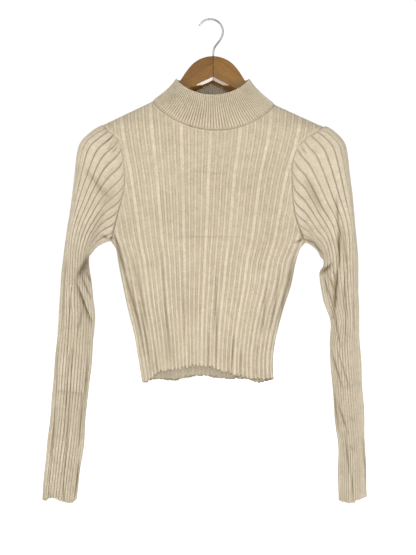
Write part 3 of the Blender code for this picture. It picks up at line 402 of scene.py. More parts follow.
# ---- curves ----
def smooth(knots, values, at):
    """A smooth curve through the values at the knots, with slopes from their neighbours."""
    knots = np.asarray(knots, float)
    values = np.asarray(values, float)
    if knots[0] > knots[-1]:
        knots, values = knots[::-1], values[::-1]
    at = np.clip(np.asarray(at, float), knots[0], knots[-1])
    slopes = np.gradient(values, knots)
    i = np.clip(np.searchsorted(knots, at, side="right") - 1, 0, len(knots) - 2)
    h = knots[i + 1] - knots[i]
    t = (at - knots[i]) / h
    return ((1 + 2 * t) * (1 - t) ** 2 * values[i] + t * (1 - t) ** 2 * h * slopes[i]
            + t * t * (3 - 2 * t) * values[i + 1] - t * t * (1 - t) * h * slopes[i + 1])


def stack(*coordinates):
    """The points with these coordinates; a single number stands for all of them."""
    return np.stack(np.broadcast_arrays(*coordinates), axis=-1)


def unit(vectors):
    """The vectors at length one."""
    return vectors / np.linalg.norm(vectors, axis=-1, keepdims=True)


def ease(t):
    """0 to 1 with a soft start and end."""
    t = np.clip(t, 0, 1)
    return t * t * (3 - 2 * t)


def bell(away, width):
    """1 at no distance, and softly down to 0 beyond a width."""
    return np.exp(-(away / width) ** 2)


def dome(v, roundness):
    """Height of a flat dome over v = 0 to 1, upright at both ends."""
    return np.sqrt(np.clip(1 - np.abs(2 * v - 1) ** roundness, 0, 1))


def wander(kind, u, v, shift=0):
    """Smooth unevenness between about -1 and 1, a sum of waves in random directions."""
    u_scale, v_scale, size, seed = WAVES[kind]
    random = np.random.default_rng(seed + shift)
    total = 0
    for _ in range(WAVE_COUNT):
        angle, length = random.uniform(0, 2 * pi), size * random.uniform(0.7, 1.6)
        start = random.uniform(0, 2 * pi)
        run = u * u_scale * cos(angle) + v * v_scale * sin(angle)
        total = total + np.sin(run * 2 * pi / length + start)
    return total * 2 / WAVE_COUNT


def spaced(points, step):
    """The same polyline with points about a step apart."""
    lengths = np.append(0, np.cumsum(np.linalg.norm(np.diff(points, axis=0), axis=1)))
    at = np.linspace(0, lengths[-1], max(2, round(lengths[-1] / step) + 1))
    return stack(*(np.interp(at, lengths, column) for column in points.T))


# ---- folds ----
def folds_at(face, x, z):
    """How far the folds sink the cloth at (x, z), and how much painted shade lies in the crease of a
    steep one.
    """
    x, z = np.broadcast_arrays(np.asarray(x, float), np.asarray(z, float))
    sunk, painted_shade = np.zeros(x.shape), np.zeros(x.shape)
    for x0, z0, x1, z1, depth, width, lip in zip(*FOLDS[face].values()):
        run_x, run_z = x1 - x0, z1 - z0
        on = np.clip(((x - x0) * run_x + (z - z0) * run_z) / (run_x ** 2 + run_z ** 2), 0, 1)
        away = np.hypot(x - x0 - on * run_x, z - z0 - on * run_z)
        beside = ((x - x0) * run_z - (z - z0) * run_x) / hypot(run_x, run_z)
        away = away * np.where(beside * lip > 0, LIP_SHARPNESS, 1.0)
        strength = FOLD_END + (1 - FOLD_END) * np.sin(pi * on)
        sunk = np.maximum(sunk, depth * strength * bell(away, width))
        # Painted shade in the crease, darker for steeper folds.
        painted_shade = np.maximum(painted_shade, min(1, depth / width) * strength * bell(away, CREASE_SHADE_PART * width))
    return sunk, painted_shade


def fold_depth(face, x, z, limit):
    """How far the folds sink the cloth at (x, z), up to a limit."""
    return np.minimum(folds_at(face, x, z)[0], limit)


# ---- form of the body ----
def armhole_xz(side, v):
    """The armhole seam in the front view: v is 0 at the shoulder and 1 at the underarm."""
    steps = np.linspace(0, 1, len(ARMHOLE[side]["x"]))
    return smooth(steps, ARMHOLE[side]["x"], v), smooth(steps, ARMHOLE[side]["z"], v)


def side_edge(side):
    """The body's edge from the hem over the armhole and shoulder to the neck point.

    It gives z, x and the part of the armhole's own thickness that the body has there.
    """
    v = np.linspace(0, 1, OUTLINE_POINTS["armhole"])
    arm_x, arm_z = armhole_xz(side, v)
    neck_x, neck_z = NECK_POINT[side]
    shoulder = np.linspace(0, 1, OUTLINE_POINTS["shoulder"], endpoint=False)
    seam_z = np.linspace(SIDES["z"][0], SIDES["z"][-1], OUTLINE_POINTS["side"])
    seam_x = smooth(SIDES["z"], SIDES["left" if side == LEFT else "right"], seam_z)
    z = np.concatenate([neck_z + shoulder * (arm_z[0] - neck_z), arm_z, seam_z])
    x = np.concatenate([neck_x + shoulder * (arm_x[0] - neck_x), arm_x, seam_x])
    part = np.concatenate([0 * shoulder, dome(v, SLEEVE_ROUNDNESS), 0 * seam_z])
    return z[::-1], x[::-1], part[::-1]


EDGE = {side: side_edge(side) for side in (LEFT, RIGHT)}


def edge_x(side, z):
    """Where the body ends at height z."""
    return np.interp(z, EDGE[side][0], EDGE[side][1])


def body_depth(face, x, z):
    """Half thickness of the body at (x, z): round at the sides and shoulders, with its folds."""
    left, right = edge_x(LEFT, z), edge_x(RIGHT, z)
    across = np.clip((2 * x - left - right) / (right - left), -1, 1)
    middle = smooth(DEPTH["z"], DEPTH["front" if face == FRONT else "back"], z)
    left_part, right_part = (np.interp(z, EDGE[side][0], EDGE[side][2]) for side in (LEFT, RIGHT))
    part = np.where(x < (left + right) / 2, left_part, right_part)
    seam = ARMHOLE_DEPTH[face] * part * np.abs(across) ** SEAM_REACH
    full = seam + (middle - seam) * np.sqrt(1 - np.abs(across) ** SIDE_ROUNDNESS)
    room = np.clip(full / LUMP_DEPTH, 0, 1) ** 2
    lumps = LUMP * wander("panel_lumps", x, z, face) * room * (1 - np.abs(across) ** LUMP_REACH)
    return full + lumps - fold_depth(face, x, z, FOLD_LIMIT * full)


def panel_point(face, x, z):
    """Points of the panel's ground, at least half a seam gap from the other panel."""
    return stack(x, face * (body_depth(face, x, z) + SEAM_GAP / 2), z)


def panel_inward(face, x, z):
    """Unit vectors from the outer face into the wall."""
    middle = (edge_x(LEFT, z) + edge_x(RIGHT, z)) / 2
    aside = np.where(x < middle, SLOPE_STEP, -SLOPE_STEP)
    across = (panel_point(face, x + aside, z) - panel_point(face, x, z)) / aside[:, None]
    down = (panel_point(face, x, z) - panel_point(face, x, z - SLOPE_STEP)) / SLOPE_STEP
    return unit(np.cross(down, across)) * -face


def neck_ring(face, angle):
    """The neck seam of one half in the middle of its gap: x, y and z."""
    (left_x, left_z), (right_x, right_z) = NECK_POINT[LEFT], NECK_POINT[RIGHT]
    x = (left_x + right_x) / 2 + (right_x - left_x) / 2 * np.sin(angle)
    round_part = np.clip(np.cos(angle), 0, 1) ** NECK_SHAPE
    z = left_z + (right_z - left_z) * (1 + np.sin(angle)) / 2 - NECK_DROP[face] * round_part
    return stack(x, face * body_depth(face, x, z), z)


# ---- ribs of the panels ----
def rib_scale(z):
    """The middle rib's x and the half widths of the ribs to its left and right at height z."""
    above = z > RIB_FAN["z"][-1]
    centre = np.where(above, smooth(RIB_FAN["z"], RIB_FAN["centre"], z),
                      smooth(RIB_CENTRE_BELOW["z"], RIB_CENTRE_BELOW["x"], z))
    left = np.where(above, smooth(RIB_FAN["z"], RIB_FAN["left"], z), centre - edge_x(LEFT, z))
    right = np.where(above, smooth(RIB_FAN["z"], RIB_FAN["right"], z), edge_x(RIGHT, z) - centre)
    return centre, left, right


def panel_x(s, z):
    """x of the cloth place s at height z."""
    centre, left, right = rib_scale(z)
    return centre + s * np.where(s < 0, left, right)


def panel_s(x, z):
    """The cloth place at x, the inverse of panel_x."""
    centre, left, right = rib_scale(z)
    return (x - centre) / np.where(x < centre, left, right)


def rib_columns():
    """A column of points for each point across each rib: its s far apart and tight, and its rise."""
    rows = []
    for k in range(-(PANEL_RIBS // 2), PANEL_RIBS // 2 + 1):
        profile = WIDE_RIB if k % WIDE_EVERY == 0 else NARROW_RIB
        rows += [((k + a) * 2 / PANEL_RIBS, (k + b) * 2 / PANEL_RIBS, rise)
                 for a, b, rise in zip(*profile.values())]
    rows.append((1, 1, 0))
    return table("open tight rise", *rows)


COLUMNS = rib_columns()
LAST_COLUMN = len(COLUMNS["rise"]) - 1
COLUMN_NUMBERS = np.arange(LAST_COLUMN + 1)


def column_rise(column):
    """Rise of the ribs at a column, whole or between two, as a part of a full rib."""
    return np.interp(column, COLUMN_NUMBERS, COLUMNS["rise"])


def tightness(z):
    """0 where the ribs are far apart, 1 where they are tight."""
    _, left, right = rib_scale(z)
    pitch = (left + right) / PANEL_RIBS
    return ease((OPEN_PITCH - pitch) / (OPEN_PITCH - TIGHT_PITCH))


def column_s(column, z):
    """The cloth place of a column, whole or between two, at height z."""
    far, near = (np.interp(column, COLUMN_NUMBERS, COLUMNS[name]) for name in ("open", "tight"))
    return far + (near - far) * tightness(z)


def column_at(s, z):
    """The column at the cloth place s, the inverse of column_s, for arrays of places."""
    spread = COLUMNS["tight"] - COLUMNS["open"]
    return np.array([np.interp(place, COLUMNS["open"] + spread * mix, COLUMN_NUMBERS)
                     for place, mix in zip(s, tightness(z))])


# ---- rim of a panel ----
# Each part of the rim is a pair: its outer points and their directions into the wall.
def hem_height(face, s):
    """Height of the hem: its long shape, a dip at each rib and some wander."""
    long_shape = smooth(HEM[face]["s"], HEM[face]["z"], s)
    scallop = HEM_SCALLOP[face] * (column_rise(column_at(s, long_shape)) - MEAN_RISE)
    inner = np.clip((1 - np.abs(s)) / HEM_END, 0, 1)
    return long_shape - inner * (scallop - HEM_WANDER[face] * wander("hem", s, s, face))


def hem_edge(face):
    """The hem from left to right, with one point for each column."""
    s = column_s(COLUMN_NUMBERS, np.full(LAST_COLUMN + 1, HEM[face]["z"].mean()))
    s[0], s[-1] = -1, 1
    z = hem_height(face, s)
    x = panel_x(s, z)
    wall = panel_inward(face, x, z)
    wall[0], wall[-1] = (1, 0, 0), (-1, 0, 0)
    return panel_point(face, x, z), wall


def shoulder_edge(face, side):
    """The shoulder seam from the neck to the armhole, without its ends."""
    start = np.array(NECK_POINT[side])
    end = np.array([ARMHOLE[side]["x"][0], ARMHOLE[side]["z"][0]])
    x, z = spaced(np.stack([start, end]), RIM_STEP)[1:-1].T
    slope_x, slope_z = unit(end - start)
    wall = np.tile(np.array([slope_z, 0, -slope_x]) * side, (len(x), 1))
    return stack(x, face * SEAM_GAP / 2, z), wall


def armhole_edge(face, side):
    """The armhole seam from the shoulder to the underarm."""
    v = np.linspace(0, 1, RIM_POINTS["armhole"])
    seam = spaced(stack(*armhole_xz(side, v), v), RIM_STEP)
    x, z, v = seam.T
    tangent_x, tangent_z = unit(np.gradient(seam[:, :2], axis=0)).T
    away = side * stack(tangent_z, 0, -tangent_x)
    edge = panel_point(face, x, z) + away * SEAM_GAP / 2
    edge_on = 1 - dome(v, SLEEVE_ROUNDNESS)[:, None]
    return edge, unit(np.array([0, -face, 0]) * (1 - edge_on) + away * edge_on)


def flank_edge(face, side, hem_z):
    """The side seam from the underarm to the hem, clear of both."""
    z = np.arange(ARMHOLE[side]["z"][-1] - FLANK_CLEAR, hem_z + FLANK_CLEAR, -FLANK_STEP)
    lean = (edge_x(side, z + FLANK_SLOPE) - edge_x(side, z - FLANK_SLOPE)) / (2 * FLANK_SLOPE)
    return stack(edge_x(side, z), face * SEAM_GAP / 2, z), unit(stack(-side, 0, side * lean))


def neck_edge(face):
    """The panel's side of the neck seam from right to left."""
    angle = np.linspace(pi / 2, -pi / 2, RIM_POINTS["neck"])
    ring = neck_ring(face, angle)
    rise = unit(top_ring(face, angle) - ring)
    along = np.gradient(ring, axis=0)
    along[0], along[-1] = (0, face, 0), (0, -face, 0)
    wall = unit(np.cross(along, rise)) * -face
    below = ring - rise * SEAM_GAP / 2
    below[:, 1] += face * SEAM_GAP / 2
    return below, wall


def panel_rim(face):
    """The closed rim of a panel, anticlockwise in the front view from the left end of the hem."""
    hem = hem_edge(face)
    down = {side: [shoulder_edge(face, side), armhole_edge(face, side), flank_edge(face, side, hem_z)]
            for side, hem_z in ((LEFT, hem[0][0, 2]), (RIGHT, hem[0][-1, 2]))}
    up_right = [(edge[::-1], wall[::-1]) for edge, wall in reversed(down[RIGHT])]
    edges, walls = zip(hem, *up_right, neck_edge(face), *down[LEFT])
    return np.concatenate(edges), np.concatenate(walls)


# ---- faces of a panel ----
# The panels are divided into triangles in the plane of columns and heights.
def rim_distance(column, rows, rim):
    """Distance of a column's places to the closed rim, up to RIM_REACH, and which are inside."""
    a, b = rim, np.roll(rim, -1, axis=0)
    low, high = np.minimum(a[:, 0], b[:, 0]), np.maximum(a[:, 0], b[:, 0])
    near = (low < column + RIM_REACH) & (high > column - RIM_REACH)
    a, b = a[near], b[near]
    across, up = (b - a).T
    from_x, from_z = column - a[:, 0], rows[:, None] - a[:, 1]
    t = np.clip((from_x * across + from_z * up) / np.maximum(across ** 2 + up ** 2, 1e-12), 0, 1)
    away = np.hypot(from_x - t * across, from_z - t * up).min(-1)
    crossed = (a[:, 0] > column) != (b[:, 0] > column)
    crossings = a[crossed, 1] + from_x[crossed] / across[crossed] * up[crossed]
    inside = (rows[:, None] < crossings).sum(-1) % 2 == 1
    return np.minimum(away, RIM_REACH), inside


def column_plane(rim):
    """The rim in the plane of columns and heights."""
    x, _, z = rim.T
    plane = stack(column_at(panel_s(x, z), z), z)
    plane[:LAST_COLUMN + 1, 0] = COLUMN_NUMBERS
    return plane


def triangulate(rim, places):
    """Triangles over a closed rim and the places inside it, numbered in this order."""
    points = [tuple(p) for p in np.concatenate([rim, places])]
    edges = [(i, (i + 1) % len(rim)) for i in range(len(rim))]
    found, _, faces, sources, _, _ = delaunay_2d_cdt(points, edges, [], 1, 1e-6)
    assert len(found) == len(points), "the rim crosses itself"
    index = [source[0] for source in sources]
    return [[index[i] for i in face] for face in faces]


def panel_places(rim, columns, row_step):
    """The lattice of columns and rows inside the rim, and each place's distance to the rim."""
    rows = np.arange(rim[:, 1].max(), rim[:, 1].min(), -row_step)
    kept, distances = [], []
    for column in columns:
        away, inside = rim_distance(column, rows, rim)
        clear = inside & (away > RIM_CLEAR)
        kept.append(stack(float(column), rows[clear]))
        distances.append(away[clear])
    return np.concatenate(kept), np.concatenate(distances)


def armhole_distance(x, z):
    """Distance in the front view to the nearest armhole seam."""
    nearest = np.full(len(x), np.inf)
    for side in (LEFT, RIGHT):
        seam_x, seam_z = armhole_xz(side, np.linspace(0, 1, FELT_POINTS["armhole"]))
        close = np.abs(x - seam_x.mean()) < ARMHOLE_REACH
        away = np.hypot(x[close, None] - seam_x, z[close, None] - seam_z).min(-1)
        nearest[close] = np.minimum(nearest[close], away)
    return nearest


def neck_shade(face, x, z):
    """Painted shade on the cloth beside the neck seam."""
    seam = neck_ring(face, np.linspace(-pi / 2, pi / 2, FELT_POINTS["neck"]))
    shade = np.zeros(len(x))
    close = z > seam[:, 2].min() - 4 * NECK_SHADE_WIDTH
    away = np.hypot(x[close, None] - seam[:, 0], z[close, None] - seam[:, 2]).min(-1)
    shade[close] = NECK_SHADE * bell(away, NECK_SHADE_WIDTH)
    return shade


def panel_relief(places, x, z, distance):
    """Rise of the ribs over the ground, with the ridge of the seam by the armholes."""
    height = OPEN_RISE + (TIGHT_RISE - OPEN_RISE) * tightness(z)
    uneven = 1 + RIB_UNEVEN * wander("panel_ribs", places[:, 0], z)
    seam = armhole_distance(x, z)
    pulled = ease(np.minimum(seam, distance + 1) / SEAM_PULL)
    ridge = RIDGE_RISE * bell(seam - RIDGE_AT, RIDGE_WIDTH)
    return column_rise(places[:, 0]) * height * uneven * pulled + ridge


def panel_lattice(plane, columns, row_step):
    """One side of a panel: triangles over its rim and lattice, its places, x, z and ribs' rise."""
    places, distance = panel_places(plane, columns, row_step)
    z = places[:, 1]
    x = panel_x(column_s(places[:, 0], z), z)
    return triangulate(plane, places), places, x, z, panel_relief(places, x, z, distance)


def build_panel(name, face, material):
    """One body panel: both faces of the knit with their ribs, and the wall around its rim."""
    rim, walls = panel_rim(face)
    plane = column_plane(rim)
    faces, places, x, z, relief = panel_lattice(plane, range(1, LAST_COLUMN), GRID_ROW)
    outer = panel_point(face, x, z) - panel_inward(face, x, z) * relief[:, None]
    # Painted shade in the creases of the folds and beside the neck seam.
    painted_shade = np.maximum(folds_at(face, x, z)[1], neck_shade(face, x, z))

    every_other = range(1, LAST_COLUMN, 2)
    inner_faces, inner_places, x, z, inner_relief = panel_lattice(plane, every_other, INNER_ROW)
    depth = KNIT - INNER_FOLLOWS * inner_relief
    inner = panel_point(face, x, z) + panel_inward(face, x, z) * depth[:, None]

    first_inner = len(rim) + len(outer)
    faces += [[i + first_inner for i in reversed(f)] for f in inner_faces]
    for i in range(len(rim)):
        j = (i + 1) % len(rim)
        faces.append([j, i, i + first_inner, j + first_inner])
    points = np.concatenate([rim, outer, rim + walls * KNIT, inner])
    flat = np.concatenate([plane, places, plane, inner_places])
    zero = np.zeros(len(rim))
    # Painted shade on the rim beside the neck seam.
    edge = neck_shade(face, rim[:, 0], rim[:, 2])
    # Painted shade along the whole hem.
    edge[:LAST_COLUMN + 1] = HEM_SHADE
    # Inside, painted light on the ground and painted shade behind the ribs.
    inner_rise = INNER_RISE - INNER_TINT * inner_relief
    values = {"rib_rise": np.concatenate([zero, relief, zero, inner_rise]),
              "painted_shade": np.concatenate([edge, painted_shade, edge, 0 * inner_relief])}
    return make_mesh(name, points, faces, material, flat, values)


# ---- tubes ----
def band(ring, after, size):
    """Quads between two closed rings of the same size, by the rings' numbers."""
    pairs = [(k, (k + 1) % size) for k in range(size)]
    return [[ring * size + a, ring * size + b, after * size + b, after * size + a] for a, b in pairs]


def tube_faces(rings, size):
    """Quads through closed rings of points, and from the last ring back to the first."""
    return [quad for ring in range(rings) for quad in band(ring, (ring + 1) % rings, size)]


def rod_faces(rings, size):
    """Faces of a solid rod: its two ends, and the skin between its rings of points."""
    ends = [list(range(size)), list(range((rings - 1) * size, rings * size))]
    return ends + [quad for ring in range(rings - 1) for quad in band(ring, ring + 1, size)]


def rib_turns(ribs, profile):
    """Turns of the points around a tube and the rise at each, for ribs that all have one profile."""
    turns = np.concatenate([(k + profile["place"]) / ribs for k in range(ribs)])
    return turns, np.tile(profile["rise"], ribs)


# ---- collar ----
def top_ring(face, angle):
    """The collar's upper edge: the angle is 0 in the middle of the face and 90 degrees at the right."""
    half = TOP_RING_HALF[face]
    round_part = np.clip(np.cos(angle), 0, 1)
    x = TOP_RING["x"] + TOP_RING["half_width"] * np.sin(angle)
    z = TOP_RING["z"] - half["drop"] * round_part ** half["shape"]
    return stack(x, face * half["reach"] * round_part, z)


def whole_ring(half_ring, turn):
    """A ring at each turn, from its half over the front and its half over the back."""
    angle = -pi / 2 + 2 * pi * turn
    return np.where((turn <= 0.5)[:, None], half_ring(FRONT, angle), half_ring(BACK, pi - angle))


def collar_point(turn, height):
    """The collar's plain outer face: turn from the left over the front, height from 0 to 1."""
    turn = turn % 1
    base, top = whole_ring(neck_ring, turn), whole_ring(top_ring, turn)
    base = base + unit(top - base) * SEAM_GAP / 2
    run = height + COLLAR_FLARE * 4 * height * (1 - height)
    return base + (top - base) * np.array([run, run, height])


def collar_outward(turn, height):
    """Unit vectors out of the collar's outer face."""
    along = collar_point(turn + COLLAR_SLOPE, height) - collar_point(turn - COLLAR_SLOPE, height)
    low, high = max(0, height - COLLAR_SLOPE), min(1, height + COLLAR_SLOPE)
    up = collar_point(turn, high) - collar_point(turn, low)
    return -unit(np.cross(up, along))


def build_collar(material):
    """The mock neck: a band of fine ribs, rolled at its upper edge, ribbed inside as well."""
    turns, rise = rib_turns(COLLAR_RIBS, COLLAR_RIB)
    heights = np.linspace(0, 1, COLLAR_ROWS)
    rings, flat, rises, shades = [], [], [], []
    for outside in (True, False):
        for height in heights if outside else heights[::-1]:
            seam, edge = ease(height * COLLAR_ENDS), ease((1 - height) * COLLAR_ENDS)
            swell = smooth(COLLAR_SWELL["height"], COLLAR_SWELL["out"], height)
            swell = swell + COLLAR_LUMP * wander("collar", turns, height) * edge * seam
            swell = swell * np.abs(np.sin(2 * pi * turns)) ** 0.5
            relief = COLLAR_RISE * rise * seam * (EDGE_RISE + (1 - EDGE_RISE) * edge)
            thick = KNIT * (1 + ROLL_PART * (1 - ease((1 - height) * ROLL_ENDS)))
            out = swell + relief if outside else swell - thick - COLLAR_INSIDE * relief
            rings.append(collar_point(turns, height) + collar_outward(turns, height) * out[:, None])
            flat.append(stack(turns * COLLAR_RIBS, height * COLLAR_HEIGHT))
            rises.append(relief)
            # Painted shade at the foot of the collar, fading up its height.
            shades.append(np.full(len(turns), NECK_SHADE * (1 - ease(height * ROLL_ENDS))))
    faces = tube_faces(len(rings), len(turns))
    values = {"rib_rise": np.concatenate(rises), "painted_shade": np.concatenate(shades)}
    return make_mesh("collar_knit", np.concatenate(rings), faces, material, np.concatenate(flat), values)


# ---- sleeves ----
def rib_crowding(part):
    """Part of the way across a sleeve for a part of its ribs, closer together at the edges."""
    return (1 - RIB_CROWDING) * part + RIB_CROWDING * (1 - np.cos(pi * part)) / 2


def rib_place(side, row, part):
    """The same with the sag of the ribs in a row."""
    v = rib_crowding(part)
    return v + smooth(RIB_SAG[side]["row"], RIB_SAG[side]["sag"], row) * np.sin(pi * v)


def sleeve_half(side, row, v, face):
    """One half of the sleeve's ground: row counts the sections, v goes from outer to inner edge."""
    rows = SLEEVE[side]
    numbers = np.arange(len(rows["bow"]))
    read = {name: smooth(numbers, column, row) for name, column in rows.items()}
    arm_x, arm_z = armhole_xz(side, v)
    end_x, end_z = armhole_xz(side, np.array([0.0, 1.0]))
    bow_x = arm_x - end_x[0] - (end_x[1] - end_x[0]) * v
    bow_z = arm_z - end_z[0] - (end_z[1] - end_z[0]) * v
    x = read["outer_x"] + (read["inner_x"] - read["outer_x"]) * v + read["bow"] * bow_x
    z = read["outer_z"] + (read["inner_z"] - read["outer_z"]) * v + read["bow"] * bow_z
    at_seam = max(0, 1 - row)
    depth = read["depth"] + at_seam * (ARMHOLE_DEPTH[face] - rows["depth"][0])
    full = depth * dome(v, SLEEVE_ROUNDNESS)
    return stack(x, face * (full - fold_depth(face, x, z, FOLD_LIMIT * full)), z)


def sleeve_ring(side, row, turns):
    """Points once round a section: turn 0 at the outer edge, over the front to the inner edge at 0.5."""
    ahead = turns <= 0.5
    front = sleeve_half(side, row, rib_place(side, row, 2 * turns[ahead]), FRONT)
    back = sleeve_half(side, row, rib_place(side, row, 2 - 2 * turns[~ahead]), BACK)
    return np.concatenate([front, back])


def sleeve_rows(side):
    """Row numbers of the rings, about a step apart along the middle of the sleeve."""
    fine = np.linspace(0, len(SLEEVE[side]["bow"]) - 1, SLEEVE_SAMPLES)
    middle = np.array([sleeve_half(side, row, np.array([0.5]), FRONT)[0] for row in fine])
    return spaced(np.column_stack([middle, fine]), SLEEVE_STEP)[:, 3]


def cuff_drop(side, turns, rise, to_cuff):
    """How far the cloth is drawn up near the uneven edge of the cuff."""
    across = rib_crowding(1 - np.abs(1 - 2 * turns))
    edge = np.interp(across, CUFF_EDGE[side]["across"], CUFF_EDGE[side]["rise"])
    return ease(1 - to_cuff / CUFF_REACH) * (edge - CUFF_SCALLOP * (rise - MEAN_RISE))


def build_sleeve(name, side, material):
    """One sleeve from the armhole seam to the open cuff, ribbed outside and faintly inside."""
    turns, rise = rib_turns(SLEEVE_RIBS, SLEEVE_RIB)
    rows = sleeve_rows(side)
    along = np.arange(len(rows))[:, None] * SLEEVE_STEP
    ground = np.array([sleeve_ring(side, row, turns) for row in rows])
    around = np.roll(ground, -1, axis=1) - np.roll(ground, 1, axis=1)
    outward = unit(np.cross(around, np.gradient(ground, axis=0))) * side

    uneven = 1 + RIB_UNEVEN * wander("sleeve_ribs", turns, along, side)
    relief = SLEEVE_RISE * rise * ease(along / SEAM_PULL) * uneven
    lumps = LUMP * wander("sleeve_lumps", turns, along, side) * ease(along / LUMP_START)
    ridge = HEAD_RIDGE["rise"] * bell(along - HEAD_RIDGE["at"], HEAD_RIDGE["width"])
    ground[..., 2] += cuff_drop(side, turns, rise, along[-1] - along)
    outer = ground + outward * (relief + (ridge + lumps))[..., None]
    inner = ground - outward * (KNIT - INNER_FOLLOWS * relief - lumps)[..., None]

    back = np.searchsorted(turns, 0.5, side="right")
    # Painted shade in the creases of the sleeve's folds, none on its inner face.
    crease_shades = np.concatenate([folds_at(face, half[..., 0], half[..., 2])[1] for face, half in
                              ((FRONT, ground[:, :back]), (BACK, ground[:, back:]))], axis=1)
    rings = np.concatenate([outer, inner[::-1]])
    flat = stack(turns * SLEEVE_RIBS * SLEEVE_PITCH, -along)
    flat = np.concatenate([flat, flat[::-1]])
    values = {"rib_rise": np.concatenate([relief, INNER_TINT * relief[::-1]]).ravel(),
              "painted_shade": np.concatenate([crease_shades, 0 * crease_shades]).ravel()}
    faces = tube_faces(len(rings), len(turns))
    return make_mesh(name, rings.reshape(-1, 3), faces, material, flat.reshape(-1, 2), values)


# ---- stitches ----
def stitch(start, end):
    """Points of one short rounded stitch, ring by ring."""
    axis = unit(end - start)
    side = unit(np.cross(axis, np.array(STITCH_ASKEW)))
    other = np.cross(axis, side)
    points = []
    for part, width in STITCH_RINGS:
        centre = start + (end - start) * part
        for angle in np.arange(STITCH_SIDES) * 2 * pi / STITCH_SIDES:
            points.append(centre + STITCH_RADIUS * width * (cos(angle) * side + sin(angle) * other))
    return points


def build_neck_stitches(material):
    """The row of light stitches just below the neck seam, once round."""
    points, faces = [], []
    one = rod_faces(len(STITCH_RINGS), STITCH_SIDES)
    end = pi / 2 - STITCH_ENDS
    for face in (FRONT, BACK):
        x, _, z = neck_ring(face, np.linspace(-end, end, STITCH_SAMPLES)).T
        z = z - NECK_STITCH_DROP
        path = spaced(panel_point(face, x, z) - panel_inward(face, x, z) * STITCH_OUT, STITCH_SPACING)
        for start, after in zip(path, path[1:]):
            faces += [[i + len(points) for i in f] for f in one]
            points += stitch(start, start + unit(after - start) * STITCH_LENGTH)
    return make_mesh("neck_stitches", np.array(points), faces, material)


# ---- hanger and hook ----
def hanger_section(top, bottom, half):
    """Upright section of an arm once round: a rounded top, flat faces and bevels round the underside."""
    upper = min(TOP_ROUND * half, TOP_ROUND_LIMIT * (top - bottom))
    part = min(1, (top - bottom) / BEVEL_FULL_HEIGHT, half / BEVEL_FULL_HALF)
    height, depth, drop = BEVEL_HEIGHT * part, BEVEL_DEPTH * part, UNDERSIDE_DROP * part
    arc = np.radians(np.linspace(0, 90, TOP_POINTS))
    front = [(-half + upper - upper * cos(a), top - upper + upper * sin(a)) for a in arc]
    back = [(-y, z) for y, z in reversed(front)]
    under = [(half, bottom - drop + height),
             (half - depth, bottom - drop),
             (-half + 2 * depth, bottom - drop),
             (-half + depth + ARRIS, bottom - ARRIS),
             (-half + depth, bottom),
             (-half + ARRIS, bottom + height - ARRIS),
             (-half, bottom + height)]
    return front + back + under


def build_arm(name, side, material):
    """One half of the hanger from the mitre to its rounded end."""
    outs = np.concatenate([MITRE_ROWS, np.linspace(ARM_START, HANGER["out"][-1], ARM_ROWS)])
    tilt = radians(HANGER_TILT)
    pivot_z = HANGER["top"][0]
    points = []
    for row, out in enumerate(outs):
        top, bottom, half = (smooth(HANGER["out"], HANGER[column], out)
                             for column in ("top", "bottom", "half"))
        shrink = MITRE_CHAMFER if row == 0 else 0
        for y, z in hanger_section(top - shrink, bottom + shrink, half - shrink):
            x, z = side * out, z - pivot_z
            points.append((HANGER_X + x * cos(tilt) + z * sin(tilt), y,
                           pivot_z - x * sin(tilt) + z * cos(tilt)))
    faces = rod_faces(len(outs), len(points) // len(outs))
    return make_mesh(name, np.array(points), faces, material, sharp=WOOD_SHARP)


def hook_path():
    """Middle line of the wire from the tip over the rail to the end of the shank: x and z."""
    centre_z = WIRE_RADIUS - HOOK_RADIUS
    arc = [(HOOK_RADIUS * cos(radians(a)), centre_z + HOOK_RADIUS * sin(radians(a)))
           for a in np.linspace(HOOK_FROM, HOOK_TO, ARC_POINTS)]
    wood_top = HANGER["top"][0]
    start, end = np.array(arc[-1]), np.array([HANGER_X, wood_top + UPRIGHT])
    leave = radians(HOOK_TO - 90)
    lead = HOOK_LEAD * hypot(*(end - start))
    bend = [start, start + lead * np.array([cos(leave), sin(leave)]), end + (0, lead), end]
    neck = []
    for t in np.linspace(0, 1, NECK_POINTS)[1:]:
        weights = ((1 - t) ** 3, 3 * t * (1 - t) ** 2, 3 * t * t * (1 - t), t ** 3)
        neck.append(sum(w * p for w, p in zip(weights, bend)))
    shank = [(HANGER_X, wood_top), (HANGER_X, wood_top - SHANK_DEPTH)]
    return np.array(arc + neck + shank)


def build_hook(material):
    """The bent wire hook, with a rounded tip."""
    path = hook_path()
    tip = unit(path[0] - path[1])
    cap = np.radians(TIP_ANGLES)
    path = np.concatenate([[path[0] + tip * WIRE_RADIUS * sin(a) for a in cap], path])
    radii = np.full(len(path), WIRE_RADIUS)
    radii[:len(cap)] = WIRE_RADIUS * np.cos(cap)
    ahead = unit(np.gradient(path, axis=0))
    points = []
    for (x, z), (run_x, run_z), radius in zip(path, ahead, radii):
        for angle in np.arange(WIRE_SIDES) * 2 * pi / WIRE_SIDES:
            out = radius * cos(angle)
            points.append((x + out * run_z, radius * sin(angle), z - out * run_x))
    return make_mesh("hook_wire_bent", np.array(points), rod_faces(len(path), WIRE_SIDES), material)


